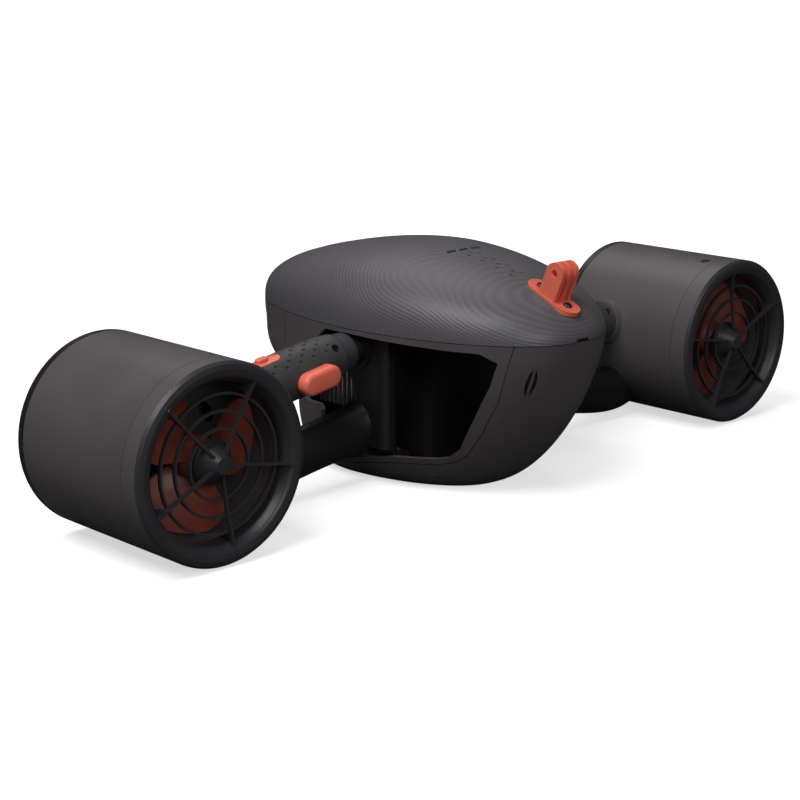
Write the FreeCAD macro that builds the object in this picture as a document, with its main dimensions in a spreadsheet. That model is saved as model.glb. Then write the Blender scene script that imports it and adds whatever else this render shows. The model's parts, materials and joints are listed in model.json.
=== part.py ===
import FreeCAD, Part
import math
import os

import Sketcher

# Twin-thruster underwater scooter, in millimetres.
# X runs across the craft from the left thruster to the right one, Y runs from the bow to the
# tail and Z runs up. The origin is on the floor under the middle of the hull.

os.makedirs("parts", exist_ok=True)
doc = FreeCAD.newDocument("underwater_scooter")
Vec = FreeCAD.Vector
X_AXIS = Vec(1, 0, 0)
Y_AXIS = Vec(0, 1, 0)
Z_AXIS = Vec(0, 0, 1)
LEFT = -1
RIGHT = 1
SIDES = ((LEFT, "left"), (RIGHT, "right"))

# Driving dimensions: word, value and what it measures.
SIZES = [
    # hull
    ("hull_length", 272.8, "nose to tail at the parting plane"),
    ("hull_half_width", 81.0, "half of the widest beam"),
    ("widest_from_nose", 139.0, "nose to the widest section"),
    ("parting_height", 106.0, "floor to the joint of cover and hull"),
    ("dome_height", 48.0, "rise of the top cover over the joint"),
    ("bow_rake", 74.0, "how far the stem runs back at the belly"),
    ("belly_share", 0.58, "belly width as a share of the beam"),
    ("stern_lip_drop", 26.0, "height of the upright stern wall"),
    ("stern_step_drop", 60.0, "depth at which the slanted stern ends"),
    ("stern_step", 37.0, "how far the slanted stern runs forward"),
    ("stern_lip", 3.0, "lean of the upright stern wall"),
    ("stern_bilge", 16.0, "rounding of the stern into the belly"),
    ("hull_wall", 3.0, "wall of the lower hull"),
    ("cover_wall", 2.6, "wall of the top cover"),
    ("seam_gap", 0.5, "open joint between two shells"),
    ("tail_seam_from_nose", 202.5, "nose to the tail cover's joint"),
    # thrusters
    ("duct_spacing", 475.2, "distance between the thruster axes"),
    ("duct_radius", 60.0, "outer radius of a thruster"),
    ("duct_axis_height", 61.0, "floor to the thruster axes"),
    ("nose_to_duct", 72.0, "nose to the front joint of the ducts"),
    ("duct_length", 98.3, "front joint to rear joint of a duct"),
    ("duct_wall", 2.5, "outer and inner wall of a duct"),
    ("tunnel_radius", 47.0, "inner radius of the water tunnel"),
    ("lip_length", 15.0, "front joint to the foremost edge"),
    ("rear_ring_length", 6.0, "length of the rear end ring"),
    # guard
    ("guard_cone_radius", 13.4, "base of the guard's cone"),
    ("guard_tip_radius", 5.0, "flat tip of the guard's cone"),
    ("guard_ring_thickness", 1.4, "radial thickness of the ribbed rings"),
    ("guard_ring_depth", 2.4, "length of the ribbed rings along the axis"),
    ("guard_ring_inner", 20.7, "radius of the inner ring"),
    ("guard_ring_middle", 31.0, "radius of the middle ring"),
    ("guard_ring_outer", 41.0, "radius of the outer ring"),
    ("guard_spokes", 5, "number of spokes"),
    ("spoke_reach", 53.5, "outer end of a spoke on the lip"),
    ("spoke_thickness", 1.6, "thickness of a spoke"),
    # drive
    ("prop_radius", 45.0, "tip radius of the propeller"),
    ("prop_hub_radius", 13.0, "radius of the propeller hub"),
    ("prop_hub_length", 25.0, "length of the propeller hub"),
    ("prop_front", 3.0, "front joint to the hub's front"),
    ("prop_blades", 3, "number of blades"),
    ("blade_sweep", 92.0, "angle that one blade covers"),
    ("blade_rise", 19.0, "length of a blade along the axis"),
    ("blade_thickness", 2.4, "thickness of a blade"),
    ("shaft_radius", 3.0, "radius of the propeller shaft"),
    ("shaft_length", 62.0, "length of the propeller shaft"),
    ("running_clearance", 0.06, "radial clearance of a turning fit"),
    ("motor_radius", 21.0, "radius of the motor can"),
    ("motor_front", 46.0, "front joint to the motor's front"),
    ("motor_length", 44.0, "length of the motor can"),
    ("stator_vanes", 5, "number of vanes that hold the motor"),
    ("vane_thickness", 2.4, "thickness of a vane"),
    ("vane_depth", 22.0, "length of a vane along the axis"),
    # arms
    ("post_outer", 69.0, "middle plane to the outer face of a post"),
    ("post_thickness", 14.0, "thickness of a post across the hull"),
    ("post_front", 35.0, "front joint of the ducts to the post's front"),
    ("post_depth", 43.0, "post from front to rear"),
    ("post_waist", 27.0, "post from front to rear at its waist"),
    ("post_foot_height", 23.5, "floor to the top of the post's foot"),
    ("post_head_height", 102.5, "floor to the top of the post"),
    ("foot_thickness", 3.5, "thickness of the post's foot"),
    ("collar_radius", 14.6, "radius of the collar on the post"),
    ("neck_radius", 11.5, "radius of the handle's neck"),
    ("neck_end", 86.0, "middle plane to the neck's outer end"),
    ("neck_height", 92.3, "floor to the handle's axis at the post"),
    ("grip_start", 86.3, "middle plane to the grip's inner end"),
    ("grip_end", 174.0, "middle plane to the grip's outer end"),
    ("grip_radius", 16.5, "largest radius of the grip"),
    ("grip_drop", 15.6, "how much lower the grip's outer end is"),
    ("grip_from_duct", 62.0, "front joint of the ducts to the grip's axis"),
    ("tube_radius", 7.0, "radius of the tube inside the grip"),
    ("tube_wall", 1.5, "wall of the tube"),
    ("boss_radius", 15.2, "radius of the thruster's boss at the grip"),
    ("boss_flare", 19.0, "radius of the boss inside the thruster"),
    ("strut_height", 37.4, "floor to the strut's axis at the post"),
    ("strut_drop", 15.0, "how much lower the strut's outer end is"),
    ("strut_half_height", 16.4, "half height of the strut's waist"),
    ("strut_half_depth", 13.0, "half depth of the strut's waist"),
    ("fit_gap", 0.3, "gap between two still pieces"),
    # controls
    ("trigger_middle", 124.0, "middle plane to the trigger's middle"),
    ("trigger_length", 40.0, "length of the trigger"),
    ("trigger_height", 19.0, "height of the trigger"),
    ("trigger_depth", 11.4, "depth of the trigger"),
    ("trigger_proud", 8.0, "how far the trigger stands out"),
    ("trigger_rise", 2.5, "trigger's middle over the grip's axis"),
    ("trigger_travel", 4.0, "how far the trigger is pressed"),
    ("trigger_round", 4.0, "rounding of the trigger's front"),
    ("slider_middle", 145.5, "middle plane to the slider's middle"),
    ("slider_length", 27.0, "length of the slider"),
    ("slider_width", 10.0, "width of the slider"),
    ("slider_floor", 13.6, "grip's axis to the slider's underside"),
    ("slider_angle", 94.0, "angle of the slider over the level towards the tail"),
    ("slider_travel", 6.0, "how far the slider runs outwards"),
    # eyelets
    ("eyelet_length", 23.0, "height of the lanyard eyelet in the bow"),
    ("eyelet_width", 7.0, "width of the lanyard eyelet"),
    ("eyelet_height", 81.6, "floor to the lanyard eyelet's middle"),
    ("eyelet_bar", 1.8, "width of the bar across an eyelet"),
    ("belly_eyelet_length", 11.0, "length of the small eyelet at the belly"),
    ("belly_eyelet_width", 5.0, "width of the small eyelet at the belly"),
    ("belly_eyelet_height", 9.0, "floor to the small eyelet's middle"),
    # core
    ("core_half_width", 40.0, "half width of the sealed core"),
    ("core_front", 21.0, "duct joint back to the core's front"),
    ("core_length", 104.0, "length of the sealed core"),
    ("core_floor", 11.0, "floor to the core's underside"),
    ("core_height", 86.0, "height of the core"),
    ("core_wall", 3.0, "wall of the core"),
    ("core_corner", 10.0, "corner radius of the core"),
    ("fin_count", 9, "number of cooling fins on a side"),
    ("fin_pitch", 4.5, "distance between fins"),
    ("fin_thickness", 1.2, "thickness of a fin"),
    ("fin_depth", 11.0, "how far the fins stand out"),
    ("fin_height", 34.0, "height of the fins"),
    # camera mount
    ("mount_from_nose", 25.0, "nose to the middle of the camera mount"),
    ("mount_height", 131.4, "floor to the middle of the plate's top"),
    ("mount_tilt", 23.0, "nose-down angle of the mount's plate"),
    ("mount_screw_spacing", 24.8, "distance between the mount's screws"),
    ("mount_plate_radius", 8.3, "end radius of the mount's plate"),
    ("mount_plate_thickness", 3.0, "thickness of the mount's plate"),
    ("prong_thickness", 3.0, "thickness of a prong"),
    ("prong_gap", 3.1, "gap between two prongs"),
    ("prong_radius", 7.0, "radius of a prong's end"),
    ("prong_bore", 2.5, "radius of the bore through the prongs"),
    ("prong_reach", 17.0, "plate's top to the bore's axis"),
    ("screw_radius", 1.6, "shank radius of the small screws"),
    ("screw_head", 2.9, "head radius of the small screws"),
]

sheet = doc.addObject("Spreadsheet::Sheet", "Sizes")
for row, (word, value, meaning) in enumerate(SIZES, start=1):
    sheet.set(f"A{row}", word)
    sheet.set(f"B{row}", str(value))
    sheet.set(f"C{row}", meaning)
    sheet.setAlias(f"B{row}", word)
doc.recompute()


def size(word):
    return float(sheet.get(word))


def cell(formula):
    """A formula over the sheet's words: every word that is a size gets the sheet's name."""
    out = []
    word = ""
    for letter in formula + " ":
        if letter.isalnum() or letter == "_":
            word += letter
            continue
        out.append("Sizes." + word if word in WORDS else word)
        out.append(letter)
        word = ""
    return "".join(out).strip()


WORDS = {word for word, value, meaning in SIZES}
NODES = []


def keep(item, label):
    """Makes a finished object a node of the model."""
    item.Label = label
    NODES.append(item)
    return item


# Places that several pieces share.
NOSE_Y = "hull_length * -0.5"
DUCT_Y = "hull_length * -0.5 + nose_to_duct"


def behind_duct(distance):
    """The Y of a plane that lies a distance behind the front joint of the ducts."""
    return -size("hull_length") / 2 + size("nose_to_duct") + distance


def bind(item, **formulas):
    for name, formula in formulas.items():
        item.setExpression(name.replace("__", "."), cell(formula))
    return item


def place(item, x="0", y="0", z="0"):
    return bind(item, Placement__Base__x=x, Placement__Base__y=y, Placement__Base__z=z)


def put(item, placement):
    """Gives an object a placement worked out from the sheet in place of one bound by formulas."""
    for axis in "xyz":
        item.setExpression("Placement.Base." + axis, None)
    item.Placement = placement
    return item


def turned(item, axis, angle):
    """Turns an object whose place is bound by formulas."""
    item.Placement = FreeCAD.Placement(item.Placement.Base, FreeCAD.Rotation(axis, angle))
    return item


def cylinder(name, radius, height, x="0", y="0", z="0", axis=None, angle=0):
    item = doc.addObject("Part::Cylinder", name)
    if axis is not None:
        turned(item, axis, angle)
    bind(item, Radius=radius, Height=height)
    return place(item, x, y, z)


def block(name, length, width, height, x="0", y="0", z="0", axis=None, angle=0):
    item = doc.addObject("Part::Box", name)
    if axis is not None:
        turned(item, axis, angle)
    bind(item, Length=length, Width=width, Height=height)
    return place(item, x, y, z)


def cut(name, base, tool):
    item = doc.addObject("Part::Cut", name)
    item.Base = base
    item.Tool = tool
    return item


def fuse(name, *items):
    item = doc.addObject("Part::MultiFuse", name)
    item.Shapes = list(items)
    item.Refine = True
    return item


def group(name, *items):
    item = doc.addObject("Part::Compound", name)
    item.Links = list(items)
    return item


def formed(label, shape, placement=None):
    """A piece whose free form is made by the functions below from the sheet's sizes."""
    item = doc.addObject("Part::Feature", label)
    item.Shape = shape
    item.Placement = placement or FreeCAD.Placement()
    return keep(item, label)


def turned_body(label, corners, rounds=()):
    """A body of revolution about its own Z axis. Each corner is a radius and a height."""
    body = doc.addObject("PartDesign::Body", label)
    plane = [f for f in body.Origin.OriginFeatures if f.Role == "XZ_Plane"][0]
    sketch = body.newObject("Sketcher::SketchObject", label + "_profile")
    sketch.AttachmentSupport = [(plane, "")]
    sketch.MapMode = "FlatFace"
    values = [(evaluate(r), evaluate(h)) for r, h in corners]
    count = len(corners)
    for i in range(count):
        a = values[i]
        b = values[(i + 1) % count]
        sketch.addGeometry(Part.LineSegment(Vec(a[0], a[1], 0), Vec(b[0], b[1], 0)), False)
    for i in range(count):
        sketch.addConstraint(Sketcher.Constraint("Coincident", i, 2, (i + 1) % count, 1))
    for i, (radius, height) in enumerate(corners):
        pairs = (("DistanceX", radius, values[i][0]), ("DistanceY", height, values[i][1]))
        for kind, formula, value in pairs:
            number = sketch.addConstraint(Sketcher.Constraint(kind, -1, 1, i, 1, value))
            sketch.setExpression(f"Constraints[{number}]", cell(formula))
    spin = body.newObject("PartDesign::Revolution", label + "_turn")
    spin.Profile = sketch
    spin.ReferenceAxis = (sketch, ["V_Axis"])
    spin.Angle = 360
    doc.recompute([sketch, spin])
    for number, (radius, height, amount) in enumerate(rounds):
        fillet_circle(body, label, number, radius, height, amount)
    return body


def evaluate(formula):
    return float(sheet.evalExpression(cell(formula)))


def fillet_circle(body, label, number, radius, height, amount):
    """Rounds the circular edge that has this radius at this height."""
    base = body.Tip
    names = []
    for i, edge in enumerate(base.Shape.Edges, start=1):
        curve = edge.Curve
        if not isinstance(curve, Part.Circle):
            continue
        same_radius = abs(curve.Radius - evaluate(radius)) < 0.01
        same_height = abs(curve.Center.z - evaluate(height)) < 0.01
        if same_radius and same_height:
            names.append(f"Edge{i}")
    round_edge = body.newObject("PartDesign::Fillet", f"{label}_round_{number}")
    round_edge.Base = (base, names)
    bind(round_edge, Radius=amount)
    body.Tip = round_edge
    doc.recompute([round_edge])


ALONG_DUCT = FreeCAD.Rotation(X_AXIS, -90)


def in_duct(item, side, distance="0"):
    """Lays an object's Z axis along a thruster's axis, a distance behind the front joint."""
    item.Placement = FreeCAD.Placement(Vec(), ALONG_DUCT)
    return place(item, f"duct_spacing * {side} / 2", f"{DUCT_Y} + {distance}", "duct_axis_height")


# The hull's form
NOSE_POWERS = (1.8, 2.3)
TAIL_POWERS = (1.7, 2.6)
DOME_NOSE_POWERS = (2.0, 1.5)
DOME_TAIL_POWERS = (2.3, 1.5)
DOME_WIDTH_POWERS = (2.75, 2.05)
STEM_POWER = 1.41
BILGE_POWER = 2.44
WIDEST_DRIFT = 0.25
RING_POINTS = 11
TOP_POINT_SHARE = 0.999


def shrink(share, powers):
    """How much of a half length is left at this share of the height."""
    return (1 - share ** powers[0]) ** (1 / powers[1])


def section_reach(height):
    """Nose Y, widest Y, tail Y and half width of the hull's level section at a height."""
    nose = -size("hull_length") / 2
    tail = size("hull_length") / 2
    widest = nose + size("widest_from_nose")
    half = size("hull_half_width")
    joint = size("parting_height")
    if height >= joint:
        share = min((height - joint) / size("dome_height"), TOP_POINT_SHARE)
        fore = widest + (nose - widest) * shrink(share, DOME_NOSE_POWERS)
        aft = widest + (tail - widest) * shrink(share, DOME_TAIL_POWERS)
        return fore, widest, aft, half * shrink(share, DOME_WIDTH_POWERS)
    share = (joint - height) / joint
    back = size("bow_rake") * (1 - shrink(share, (STEM_POWER, STEM_POWER)))
    lip = min((joint - height) / size("stern_lip_drop"), 1)
    step = (joint - height - size("stern_lip_drop")) / (size("stern_step_drop") - size("stern_lip_drop"))
    step = min(max(step, 0), 1)
    bilge = max((height - joint / 4) / (-joint / 4), 0)
    aft = tail - size("stern_lip") * lip
    aft -= size("stern_step") * step * step * (3 - 2 * step)
    aft -= size("stern_bilge") * (1 - math.sqrt(1 - bilge * bilge))
    belly = size("belly_share")
    beam = belly + (1 - belly) * shrink(share, (BILGE_POWER, BILGE_POWER))
    return nose + back, widest + WIDEST_DRIFT * back, aft, half * beam


def level_ring(height, at_height, inset):
    """A closed level curve of the hull, drawn at one height with the form of another."""
    fore, widest, aft, half = section_reach(at_height)
    half -= inset
    fore += inset
    aft -= inset
    quarter = [i * math.pi / 2 / RING_POINTS for i in range(RING_POINTS + 1)]
    right = []
    for a in quarter:
        x = half * math.sin(a) ** (2 / NOSE_POWERS[1])
        y = widest - (widest - fore) * math.cos(a) ** (2 / NOSE_POWERS[0])
        right.append(Vec(x, y, height))
    for a in reversed(quarter[:-1]):
        x = half * math.sin(a) ** (2 / TAIL_POWERS[1])
        y = widest + (aft - widest) * math.cos(a) ** (2 / TAIL_POWERS[0])
        right.append(Vec(x, y, height))
    left = [Vec(-p.x, p.y, p.z) for p in reversed(right[1:-1])]
    curve = Part.BSplineCurve()
    curve.interpolate(right + left, PeriodicFlag=True)
    return Part.Wire(curve.toShape())


HULL_SHARES = (1, 0.975, 0.93, 0.86, 0.76, 0.66, 0.566, 0.49, 0.41, 0.33, 0.245, 0.12, 0)
DOME_SHARES = (0, 0.15, 0.3, 0.45, 0.6, 0.72, 0.82, 0.9, 0.955, 0.985)


def hull_solid(inset):
    """The lower hull as a filled solid, inset all round and at the belly."""
    joint = size("parting_height")
    top = joint - size("seam_gap") / 2
    rings = []
    for share in HULL_SHARES:
        rings.append(level_ring(inset + (top - inset) * (1 - share), joint * (1 - share), inset))
    return Part.makeLoft(rings, True, False)


def dome_solid(inset):
    """The top cover as a filled solid, inset all round and at the crown."""
    joint = size("parting_height")
    rise = size("dome_height")
    foot = joint + size("seam_gap") / 2
    top = joint + rise - inset
    rings = []
    for share in DOME_SHARES:
        rings.append(level_ring(foot + (top - foot) * share, joint + rise * share, inset))
    widest = -size("hull_length") / 2 + size("widest_from_nose")
    rings.append(Part.Vertex(Vec(0, widest, top)))
    return Part.makeLoft(rings, True, False)


def side_prism(points, low_x, high_x, inset=0):
    """A prism along X from a closed side view of points (distance behind the duct joint, height)."""
    corners = [Vec(low_x, behind_duct(y), size("duct_axis_height") + z) for y, z in points]
    face = Part.Face(Part.makePolygon(corners + corners[:1]))
    if inset:
        face = face.makeOffset2D(-inset)
    return face.extrude(Vec(high_x - low_x, 0, 0))


# Side view of the water opening and of the side panel round it, as distances behind the duct
# joint and heights over the thruster axes.
OPENING = [
    (79, 41.8), (60, 42.3), (20, 41), (-36, 39.5), (-45, 34), (-39, 18), (-27, -4), (-13, -27),
    (-4, -34), (6, -36), (33, -38), (72, -45.5), (88, -45), (94, -38), (91, -24), (88.5, -15),
    (90, -11.5), (110, -13), (115, -8), (114, 2), (106, 16), (95, 28), (84, 38),
]
PANEL = [
    (-54, 46), (-50.5, 34), (-46, 20), (-41, 7), (-28, -15), (-15, -32), (-8, -37), (3, -40.5),
    (33, -42.5), (72, -50), (88, -50), (140, -44), (140, 46),
]


def make_hull():
    far = size("hull_half_width") + 20
    inner = 20
    gap = size("seam_gap")
    wall = hull_solid(0).cut(hull_solid(size("hull_wall")))
    seam = -size("hull_length") / 2 + size("tail_seam_from_nose")
    behind = Part.makeBox(4 * far, 4 * far, 4 * far, Vec(-2 * far, seam + gap / 2, -far))
    before = Part.makeBox(4 * far, 4 * far, 4 * far, Vec(-2 * far, seam - gap / 2 - 4 * far, -far))
    formed("tail_cover", wall.common(behind))
    lower = wall.common(before)
    for side, name in SIDES:
        low, high = sorted((side * inner, side * far))
        panel = side_prism(PANEL, low, high)
        inner_panel = side_prism(PANEL, low, high, gap)
        piece = lower.common(inner_panel).cut(side_prism(OPENING, low, high))
        lower = lower.cut(panel)
        formed("side_panel_" + name, piece)
    filled = hull_solid(size("hull_wall") / 2)
    inside = hull_solid(size("hull_wall") + size("fit_gap"))
    shelves = []
    for side, name in SIDES:
        low, high = sorted((side * inner, side * far))
        rim = side_prism(PANEL, low, high).cut(inside)
        shelves.append(shelf(side).common(filled).cut(rim))
    lower = lower.fuse([cradle(30), cradle(108)] + shelves)
    formed("lower_hull", lower.cut(Part.makeCompound(eyelets())))


def panel_room(side):
    """The space that the lower half of a side panel takes, with room round it for what lies behind."""
    low, high = sorted((side * 20, side * (size("hull_half_width") + 20)))
    wall = size("hull_wall")
    room = side_prism(PANEL, low, high).cut(side_prism(OPENING, low, high, wall - size("fit_gap")))
    half = Part.makeBox(high - low, 2 * size("hull_length"), size("duct_axis_height"),
                        Vec(low, -size("hull_length"), 0))
    return room.cut(hull_solid(wall + size("fit_gap"))).common(half)


EYELET_TURN = 19.3
BELLY_EYELET_TURN = 40


def flank_point(side, height, turn):
    """A point on the bow's flank; the turn runs from the stem to the beam."""
    fore, widest, aft, half = section_reach(height)
    a = math.radians(turn)
    x = half * math.sin(a) ** (2 / NOSE_POWERS[1])
    y = widest - (widest - fore) * math.cos(a) ** (2 / NOSE_POWERS[0])
    return Vec(side * x, y, height)


def flank_frame(side, height, turn):
    """Placement on the bow's flank: Z points out of the hull and Y runs up its side."""
    spot = flank_point(side, height, turn)
    along = flank_point(side, height, turn + 1) - flank_point(side, height, turn - 1)
    up = flank_point(side, height + 2, turn) - flank_point(side, height - 2, turn)
    out = along.cross(up)
    if out.y > 0:
        out = -out
    return FreeCAD.Placement(spot, FreeCAD.Rotation(up.cross(out), up, out, "ZXY"))


def almond(length, width, bar):
    """Cutter for an almond-shaped eyelet, long in Y, that leaves a bar across its middle."""
    low, high = Vec(0, -length / 2, -8), Vec(0, length / 2, -8)
    one = Part.Arc(low, Vec(width / 2, 0, -8), high).toShape()
    two = Part.Arc(high, Vec(-width / 2, 0, -8), low).toShape()
    hole = Part.Face(Part.Wire([one, two])).extrude(Vec(0, 0, 16))
    return hole.cut(Part.makeBox(bar, length, 20, Vec(-bar / 2, -length / 2, -10)))


def eyelets():
    """The lanyard eyelets of the bow and the small ones at the belly's edge."""
    cutters = []
    for side, name in SIDES:
        large = almond(size("eyelet_length"), size("eyelet_width"), size("eyelet_bar"))
        large.Placement = flank_frame(side, size("eyelet_height"), EYELET_TURN)
        small = almond(size("belly_eyelet_length"), size("belly_eyelet_width"), size("eyelet_bar") / 2)
        tilt = FreeCAD.Placement(Vec(), FreeCAD.Rotation(Z_AXIS, 90))
        frame = flank_frame(side, size("belly_eyelet_height"), BELLY_EYELET_TURN)
        small.Placement = frame.multiply(tilt)
        cutters += [large, small]
    return cutters


def cradle(distance):
    """A rib across the belly that carries the sealed core."""
    wide = 2 * size("core_half_width") - 16
    low = size("hull_wall") - 0.5
    tall = size("core_floor") - size("fit_gap") - low
    return Part.makeBox(wide, 5, tall, Vec(-wide / 2, behind_duct(distance), low))


def shelf(side):
    """The block on the hull's floor that takes a post's foot, with its two screw holes."""
    top = size("post_foot_height") - size("foot_thickness") - size("fit_gap")
    near = size("post_outer") - FOOT_REACH
    low = side * near if side == RIGHT else -near - FOOT_WIDTH
    slab = Part.makeBox(FOOT_WIDTH, size("post_depth"), top, Vec(low, behind_duct(size("post_front")), 0))
    radius = size("screw_radius") + size("running_clearance")
    holes = [Part.makeCylinder(radius, top, spot - Vec(0, 0, top), Z_AXIS) for spot in foot_screws(side, top)]
    return slab.cut(Part.makeCompound(holes))


FOOT_REACH = 22
FOOT_WIDTH = 16
FOOT_SCREW_INSET = 7


def foot_screws(side, height):
    """Where the two screws of a post's foot stand."""
    x = side * (size("post_outer") - FOOT_REACH + size("screw_head") + 1)
    front = behind_duct(size("post_front"))
    spots = (front + FOOT_SCREW_INSET, front + size("post_depth") - FOOT_SCREW_INSET)
    return [Vec(x, y, height) for y in spots]


# The notch at the cover's bow end, for prying the cover off.
NOTCH_WIDTH = 11
NOTCH_HEIGHT = 2
NOTCH_DEPTH = 8


def make_cover():
    shell = dome_solid(0).cut(dome_solid(size("cover_wall")))
    shell = shell.cut(mount_seat())
    shell = shell.cut(window_block(0))
    foot = size("parting_height") + size("seam_gap") / 2
    corner = Vec(-NOTCH_WIDTH / 2, -size("hull_length") / 2 - 1, foot - 0.1)
    notch = Part.makeBox(NOTCH_WIDTH, NOTCH_DEPTH, NOTCH_HEIGHT, corner)
    shell = shell.cut(notch)
    formed("top_cover", shell.cut(Part.makeCompound(sound_holes())))


# The sound holes of the crown: a row of slanted slots, then rows of three small holes.
SLOT_PITCH = 11
SLOT_BEHIND = 33
SLOT_CORNERS = [(-5, -1.8), (3, -1.8), (5, 1.8), (-3, 1.8)]
HOLE_RADIUS = 1.3
HOLE_ROWS = 4
HOLE_ROW_PITCH = 12.5
FIRST_HOLE_BEHIND = 22
HOLE_SPOTS = ((-6, 0), (4, 0), (0, 4))


def sound_holes():
    """Three slanted slots across the crown and groups of small holes before them."""
    cutters = []
    tall = size("dome_height") + 10
    for column in (-1, 0, 1):
        middle = Vec(column * SLOT_PITCH, behind_duct(SLOT_BEHIND), size("parting_height"))
        points = [middle + Vec(x, y, 0) for x, y in SLOT_CORNERS]
        face = Part.Face(Part.makePolygon(points + points[:1]))
        cutters.append(face.extrude(Vec(0, 0, tall)))
    for row in range(HOLE_ROWS):
        for x, y in HOLE_SPOTS:
            behind = FIRST_HOLE_BEHIND - HOLE_ROW_PITCH * row + y
            spot = Vec(x, behind_duct(behind), size("parting_height"))
            cutters.append(Part.makeCylinder(HOLE_RADIUS, tall, spot, Z_AXIS))
    return cutters


def mount_frame():
    """Placement of the camera mount: its Z is the plate's normal and its Y points aft."""
    middle = Vec(0, -size("hull_length") / 2 + size("mount_from_nose"), size("mount_height"))
    return FreeCAD.Placement(middle, FreeCAD.Rotation(X_AXIS, size("mount_tilt")))


def stadium(half_length, radius, low, high):
    """An upright slab with round ends, long in Y."""
    body = Part.makeBox(2 * radius, 2 * half_length, high - low, Vec(-radius, -half_length, low))
    ends = [Part.makeCylinder(radius, high - low, Vec(0, s * half_length, low), Z_AXIS) for s in (-1, 1)]
    return body.fuse(ends).removeSplitter()


def mount_seat():
    """The recess in the cover that takes the mount's plate."""
    gap = size("fit_gap")
    half = size("mount_screw_spacing") / 2
    seat = stadium(half, size("mount_plate_radius") + gap, -size("mount_plate_thickness") - gap, 20)
    radius = size("screw_radius") + size("running_clearance")
    holes = [Part.makeCylinder(radius, 20, Vec(0, s * half, -20), Z_AXIS) for s in (-1, 1)]
    seat = seat.fuse(holes)
    seat.Placement = mount_frame()
    return seat


NUT_THICKNESS = 3.6
NUT_CORNER_SHARE = 1.75
MOUNT_SCREW_LENGTH = 6


def make_camera_mount():
    half = size("mount_screw_spacing") / 2
    thick = size("mount_plate_thickness")
    plate = stadium(half, size("mount_plate_radius"), -thick, 0)
    radius = size("prong_radius")
    reach = size("prong_reach")
    pitch = size("prong_thickness") + size("prong_gap")
    prongs = []
    for number in (-1, 0, 1):
        left = number * pitch - size("prong_thickness") / 2
        leg = Part.makeBox(size("prong_thickness"), 2 * radius, reach + thick, Vec(left, -radius, -thick))
        eye = Part.makeCylinder(radius, size("prong_thickness"), Vec(left, 0, reach), X_AXIS)
        prongs.append(leg.fuse(eye))
    shape = plate.fuse(prongs)
    bore = Part.makeCylinder(size("prong_bore"), 6 * pitch, Vec(-3 * pitch, 0, reach), X_AXIS)
    hole_radius = size("screw_radius") + 0.2
    holes = [Part.makeCylinder(hole_radius, 20, Vec(0, s * half, -10), Z_AXIS) for s in (-1, 1)]
    shape = shape.cut(Part.makeCompound([bore] + holes)).removeSplitter()
    formed("camera_mount", shape, mount_frame())
    start = 1.5 * size("prong_thickness") + size("prong_gap")
    corner = size("prong_bore") * NUT_CORNER_SHARE
    turns = [i * math.pi / 3 for i in range(7)]
    points = [Vec(start, corner * math.cos(a), reach + corner * math.sin(a)) for a in turns]
    nut = Part.Face(Part.makePolygon(points)).extrude(Vec(NUT_THICKNESS, 0, 0))
    nut = nut.cut(Part.makeCylinder(size("prong_bore"), 20, Vec(0, 0, reach), X_AXIS))
    formed("mount_nut", nut, mount_frame())
    screws = []
    for s in (-1, 1):
        screw = small_screw(MOUNT_SCREW_LENGTH)
        screw.translate(Vec(0, s * half, 0))
        screws.append(screw)
    formed("mount_screws", Part.makeCompound(screws), mount_frame())


def small_screw(length):
    """A pan-head screw along Z whose head rests on the plane Z = 0."""
    head = Part.makeCylinder(size("screw_head"), 1.6)
    shank = Part.makeCylinder(size("screw_radius"), length, Vec(0, 0, -length))
    return head.fuse(shank).removeSplitter()


WINDOW_BEHIND = 157
WINDOW_TILT = -17
WINDOW_HEIGHT = 140.3
WINDOW_LENGTH = 46
WINDOW_WIDTH = 20
WINDOW_DEPTH = 8


def window_block(gap):
    """The status window on the rear slope of the cover, or the pocket that takes it."""
    grow = size("fit_gap") - gap
    corner = Vec(-WINDOW_LENGTH / 2 - grow, -WINDOW_WIDTH / 2 - grow, -WINDOW_DEPTH)
    slab = Part.makeBox(WINDOW_LENGTH + 2 * grow, WINDOW_WIDTH + 2 * grow, WINDOW_DEPTH, corner)
    middle = Vec(0, behind_duct(WINDOW_BEHIND), WINDOW_HEIGHT)
    slab.Placement = FreeCAD.Placement(middle, FreeCAD.Rotation(X_AXIS, WINDOW_TILT))
    return slab


def make_window():
    shape = window_block(size("fit_gap")).common(dome_solid(size("fit_gap")))
    formed("display_window", shape.cut(dome_solid(size("cover_wall"))))


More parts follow.
